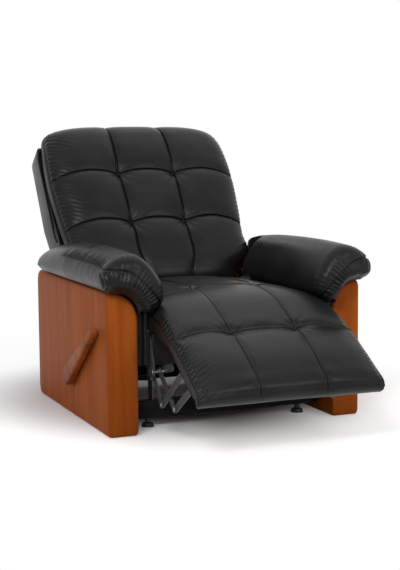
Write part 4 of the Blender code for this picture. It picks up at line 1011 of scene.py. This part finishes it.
# Turns round the middle of the panel's rounded corner, and the front seam's distance from it there
FRONT_SEAM = (
    (0.20, 0.152), (0.37, 0.151), (0.61, 0.145), (0.89, 0.147), (1.26, 0.157), (1.57, 0.163),
    (1.82, 0.168),
)
ARM_SWELL = 0.005
SIDE_FOLD, FRONT_FOLD, SLOPE = 0.0075, 0.0065, 0.0015
SIDE_PUCKERS, FRONT_PUCKERS = (0.0160, 0.036, 71, 0.15), (0.0125, 0.050, 75, 0.10)
SIDE_VALLEY, FRONT_VALLEY = 0.013, 0.012
FRONT_RADIUS = 0.125
KNOT_DEPTH, KNOT_REACH = 0.003, 0.010
SEAM_HELD = 0.004


def arm_places(piece):
    places = points_of(piece.data).T
    return np.abs(places[0]), places[1] - PANELS_Y, places[2]


def arm_seams(piece, turn_share):
    """Signed distances to the shoulder seam and to the front seam, and how much each counts."""
    x, y, z = arm_places(piece)
    shoulder = (turn_share - SHOULDER) * SECTION_LENGTH
    turn = np.arctan2(z - FRONT_MIDDLE[1], FRONT_MIDDLE[0] - x)
    front = np.hypot(z - FRONT_MIDDLE[1], FRONT_MIDDLE[0] - x) - read(FRONT_SEAM, turn)
    at_front = ease(-y, 0.425, 0.440)
    on_side = (1 - at_front) * (1 - ease(y, SHOULDER_END - 0.14, SHOULDER_END))
    return shoulder, front, turn, on_side, at_front


turn_share, y, layer = arm_sewing.T
shoulder, front, turn, side_part, front_part = arm_seams(left_arm, turn_share)
sewn = (np.abs(shoulder) < SEAM_HELD) & (side_part > 0.5)
sewn |= (np.abs(front) < SEAM_HELD) & (front_part > 0.5)
held = np.where(layer < 0.01, 1.0, np.where(sewn & (layer > 0.99), 0.8, 0.0))
inflate(left_arm, held, ARM_PRESSURE, ARM_SWELL)

turn_share, y, layer = refine(left_arm, arm_sewing)
shoulder, front, turn, side_part, front_part = arm_seams(left_arm, turn_share)
on_face = ease(layer, 0.15, 0.5)
line = side_part * sewn_line(shoulder) + front_part * sewn_line(front)
side_slope = side_part * valley(shoulder, SIDE_VALLEY)
slope = np.maximum(side_slope, front_part * valley(front, FRONT_VALLEY))
side_folds = side_part * puckers(y, shoulder, *SIDE_PUCKERS)
side_folds *= np.where(shoulder > 0, 1.0, 0.35) * ease(y, -0.43, -0.40)
front_folds = front_part * puckers(turn * FRONT_RADIUS, front, *FRONT_PUCKERS)
front_folds *= np.where(front < 0, 1.0, 0.25)
from_knot = np.sqrt(sum((at - knot) ** 2 for at, knot in zip(arm_places(left_arm), KNOT)))
depth = line + SLOPE * slope + SIDE_FOLD * side_folds + FRONT_FOLD * front_folds
depth += KNOT_DEPTH * np.exp(-from_knot / KNOT_REACH)
press(left_arm, on_face * depth)
from_seam = np.where(front_part > 0.5, front, np.where(side_part > 0.3, shoulder, 0.09))

mesh = bmesh.new()
mesh.from_mesh(left_arm.data)
bmesh.ops.scale(mesh, vec=(-1, 1, 1), verts=mesh.verts)
bmesh.ops.reverse_faces(mesh, faces=mesh.faces)
right_arm = new_piece("right_arm_cover", mesh, BLACK_LEATHER)
for side, piece in (("left", left_arm), ("right", right_arm)):
    finish_cover(piece, [side + "_arm_pad"], from_seam)
    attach(piece, "root")

# %% [markdown]
# ## The back's outer shell and the seat's front board
# Behind the cushion is a stiff shell, covered in the same leather. The leather stands out a little
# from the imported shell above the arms, and a cord sewn into its front edge makes the piping that
# catches the light. The board under the front of the seat is covered too. Beside it the cover runs
# on to the side panels as two short strips, each gathered along an upright seam.

# %% Cover the shell and the board
SHELL_SPREAD, SHELL_LIFT = 0.010, 0.010
SPREAD_FROM, LIFTED_FROM, SPREAD_ACROSS = (0.225, 0.26), (0.45, 0.68), (0.05, 0.3)


def back_place(y, z):
    """How far up along the leaning back points are, and how far in front of it."""
    y, z = y - BACK_PIVOT.y, z - BACK_PIVOT.z
    return y * UP_Y + z * UP_Z, z * UP_Y - y * UP_Z


def cover(node):
    piece = smooth_copy(node, BLACK_LEATHER)
    keep_rest(piece)
    return piece


shell = cover("back_shell")
x, y, z = points_of(shell.data).T
up, out = back_place(y, z)
x += np.sign(x) * SHELL_SPREAD * ease(up, *SPREAD_FROM) * ease(np.abs(x), *SPREAD_ACROSS)
set_points(shell.data, on_back(x, up + SHELL_LIFT * ease(up, *LIFTED_FROM), out))
cover("seat_front_board")

# %% Sew the piping
CORD_RADIUS, CORD_SIDES = 0.0045, 12
# Half widths and places up the back along which the cord runs, and how far in front of it
PIPED = (
    (0.376, 0.240), (0.381, 0.28), (0.381, 0.40), (0.381, 0.50), (0.381, 0.60), (0.378, 0.640),
    (0.370, 0.660),
)
PIPED_OUT = -0.045


def cord(name, path):
    """A round leather cord along a path of points, riding on the back."""
    mesh = bmesh.new()
    rings = []
    path = [Vector(point) for point in path]
    for i, point in enumerate(path):
        ahead = (path[min(i + 1, len(path) - 1)] - path[max(i - 1, 0)]).normalized()
        across = ahead.orthogonal() if i == 0 else across - ahead * across.dot(ahead)
        across.normalize()
        upward = ahead.cross(across)
        rings.append([])
        for turn in np.linspace(0, 2 * math.pi, CORD_SIDES, endpoint=False):
            spoke = across * math.cos(turn) + upward * math.sin(turn)
            rings[-1].append(mesh.verts.new(point + CORD_RADIUS * spoke))
    for ring, after in zip(rings, rings[1:]):
        for i in range(CORD_SIDES):
            j = (i + 1) % CORD_SIDES
            mesh.faces.new((ring[i], ring[j], after[j], after[i]))
    for ring in (rings[0], rings[-1]):
        mesh.faces.new(ring)
    bmesh.ops.recalc_face_normals(mesh, faces=mesh.faces)
    piece = new_piece(name, mesh, BLACK_LEATHER, "back")
    keep_rest(piece)


runs_up = np.linspace(0, len(PIPED) - 1, 60)
piped_x, piped_up = flow_pairs(range(len(PIPED)), PIPED, runs_up).T
for side, way in zip(SIDES, (-1, 1)):
    cord(side + "_shell_piping", on_back(way * piped_x, piped_up, PIPED_OUT))
print("piping:", len(runs_up), "rings on each side")

# %% Gather the strips beside the front board
STRIP_INNER, STRIP_OUTER = 0.3070, 0.3504
STRIP_FRONT, STRIP_REAR = -0.409, -0.3905
STRIP_LOW, STRIP_HIGH = 0.2265, 0.398
STRIP_SEAM, STRIP_FOLD, STRIP_DIP, STRIP_VALLEY = 0.328, 0.003, 0.004, 0.009
STRIP_PUCKERS = (0.013, 0.010, 91, 0.6)
# Above the seat rail's front end the strip keeps clear of the seat
CLEAR_INNER, CLEAR_FROM = 0.3145, (0.335, 0.345)


def side_strip(name, way):
    columns = np.linspace(STRIP_INNER, STRIP_OUTER, 31)
    mesh = block(columns, [STRIP_REAR, STRIP_FRONT], np.linspace(STRIP_LOW, STRIP_HIGH, 61))
    x, y, z = grid_places(mesh).T
    from_line = x - STRIP_SEAM
    dip = sewn_line(from_line) + STRIP_FOLD * puckers(z, from_line, *STRIP_PUCKERS)
    dip += STRIP_DIP * valley(from_line, STRIP_VALLEY)
    y = y + dip * (y < STRIP_REAR - 0.01)
    x = np.where(x < CLEAR_INNER, x + (CLEAR_INNER - x) * ease(z, *CLEAR_FROM), x)
    place_points(mesh, np.stack([way * x, y + PANELS_Y, z], axis=1))
    piece = new_piece(name, mesh, BLACK_LEATHER, "root")
    keep_rest(piece)
    keep_seam(piece, from_line)


for side, way in zip(SIDES, (-1, 1)):
    side_strip(side + "_front_strip", way)
print("strips from", STRIP_INNER, "to", STRIP_OUTER, "m")

# %% [markdown]
# ## The studio
# The photograph has a white ground with a soft shadow and no corner between floor and wall. The
# floor is a wide, pale disc. Seen by the camera, in a reflection or through glass, it gives off
# some light away from the chair and is plain white further out, so that it is white where no shadow
# falls. Under and close to the chair that light is left out, which paints a darker shadow there.
# The world is white when seen in these ways, and a plain grey light for everything else.

# %% Floor and world
FLOOR_DROP, FLOOR_RADIUS = 0.0005, 30.0
FLOOR_LIFT, WORLD_LIGHT = 0.50, 0.40
SHADE_MIDDLE = (0.0, 0.25, 0.0)
# Within the first of these radii the floor gets no glow, and by the second it gets all of it: painted
# shadow under and round the chair
PAINTED_SHADOW_INNER, PAINTED_SHADOW_OUTER = 0.42, 0.92
NEAR_FLOOR, FAR_FLOOR = 0.9, 1.9
WHITE = (1, 1, 1, 1)


def seen_ray(tree):
    """One where the background is looked at, straight on, in a reflection or through glass."""
    rays = add(tree, "LightPath").outputs
    either = add(
        tree, "Math", {"operation": "MAXIMUM"},
        {0: rays["Is Camera Ray"], 1: rays["Is Glossy Ray"]},
    )
    return add(tree, "Math", {"operation": "MAXIMUM"}, {0: either, 1: rays["Is Transmission Ray"]})


mesh = bmesh.new()
floor_place = Matrix.Translation((0, 0, -FLOOR_DROP))
bmesh.ops.create_circle(mesh, cap_ends=True, segments=96, radius=FLOOR_RADIUS, matrix=floor_place)
floor_material, tree = new_material("white_paper_floor")
seen = seen_ray(tree)
place = add(tree, "TexCoord").outputs["Object"]
far = add(
    tree, "VectorMath", {"operation": "DISTANCE", 1: SHADE_MIDDLE}, {0: place}
).outputs["Value"]
# No glow close to the chair and full glow further out: painted shadow under the chair
clear = add(
    tree, "MapRange",
    {"interpolation_type": "SMOOTHSTEP", "From Min": PAINTED_SHADOW_INNER, "From Max": PAINTED_SHADOW_OUTER,
     "To Max": FLOOR_LIFT},
    {"Value": far},
)
lift = add(tree, "Math", {"operation": "MULTIPLY"}, {0: seen, 1: clear})
paper = add(tree, "BsdfDiffuse", {"Color": linear("#e6e6e6")})
glow = add(tree, "Emission", {"Color": WHITE}, {"Strength": lift})
both = add(tree, "AddShader", links={0: paper, 1: glow})
fade = add(
    tree, "MapRange",
    {"interpolation_type": "SMOOTHSTEP", "From Min": NEAR_FLOOR, "From Max": FAR_FLOOR},
    {"Value": far},
)
whiter = add(tree, "Math", {"operation": "MULTIPLY"}, {0: fade, 1: seen})
white = add(tree, "Emission", {"Color": WHITE, "Strength": 1.0})
shown = add(tree, "MixShader", links={0: whiter, 1: both, 2: white})
add(tree, "OutputMaterial", links={"Surface": shown})
floor = new_piece("floor", mesh, floor_material)

world = bpy.data.worlds.new("studio")
scene.world = world
world.use_nodes = True
tree = world.node_tree
tree.nodes.clear()
strength = add(tree, "MapRange", {"To Min": WORLD_LIGHT}, {"Value": seen_ray(tree)})
background = add(tree, "Background", {"Color": WHITE}, {"Strength": strength})
add(tree, "OutputWorld", links={"Surface": background})
print("floor at", -FLOOR_DROP)

# %% Lamps
CHAIR_MIDDLE = (0.0, 0.0, 0.45)


def lamp(name, place, size, power):
    """A square area lamp that faces the chair."""
    data = bpy.data.lights.new(name, "AREA")
    data.shape = "SQUARE"
    data.size = size
    data.energy = power
    made = bpy.data.objects.new(name, data)
    scene.collection.objects.link(made)
    made.location = place
    made.rotation_mode = "QUATERNION"
    made.rotation_quaternion = (Vector(CHAIR_MIDDLE) - Vector(place)).to_track_quat("-Z", "Y")


lamp("key_left", (-2.3, -2.9, 3.2), 1.3, 82)
lamp("fill_front", (1.4, -4.2, 2.6), 2.4, 54)
lamp("top_rear", (0.8, 0.6, 3.6), 2.4, 15)
scene.view_settings.view_transform = "Standard"
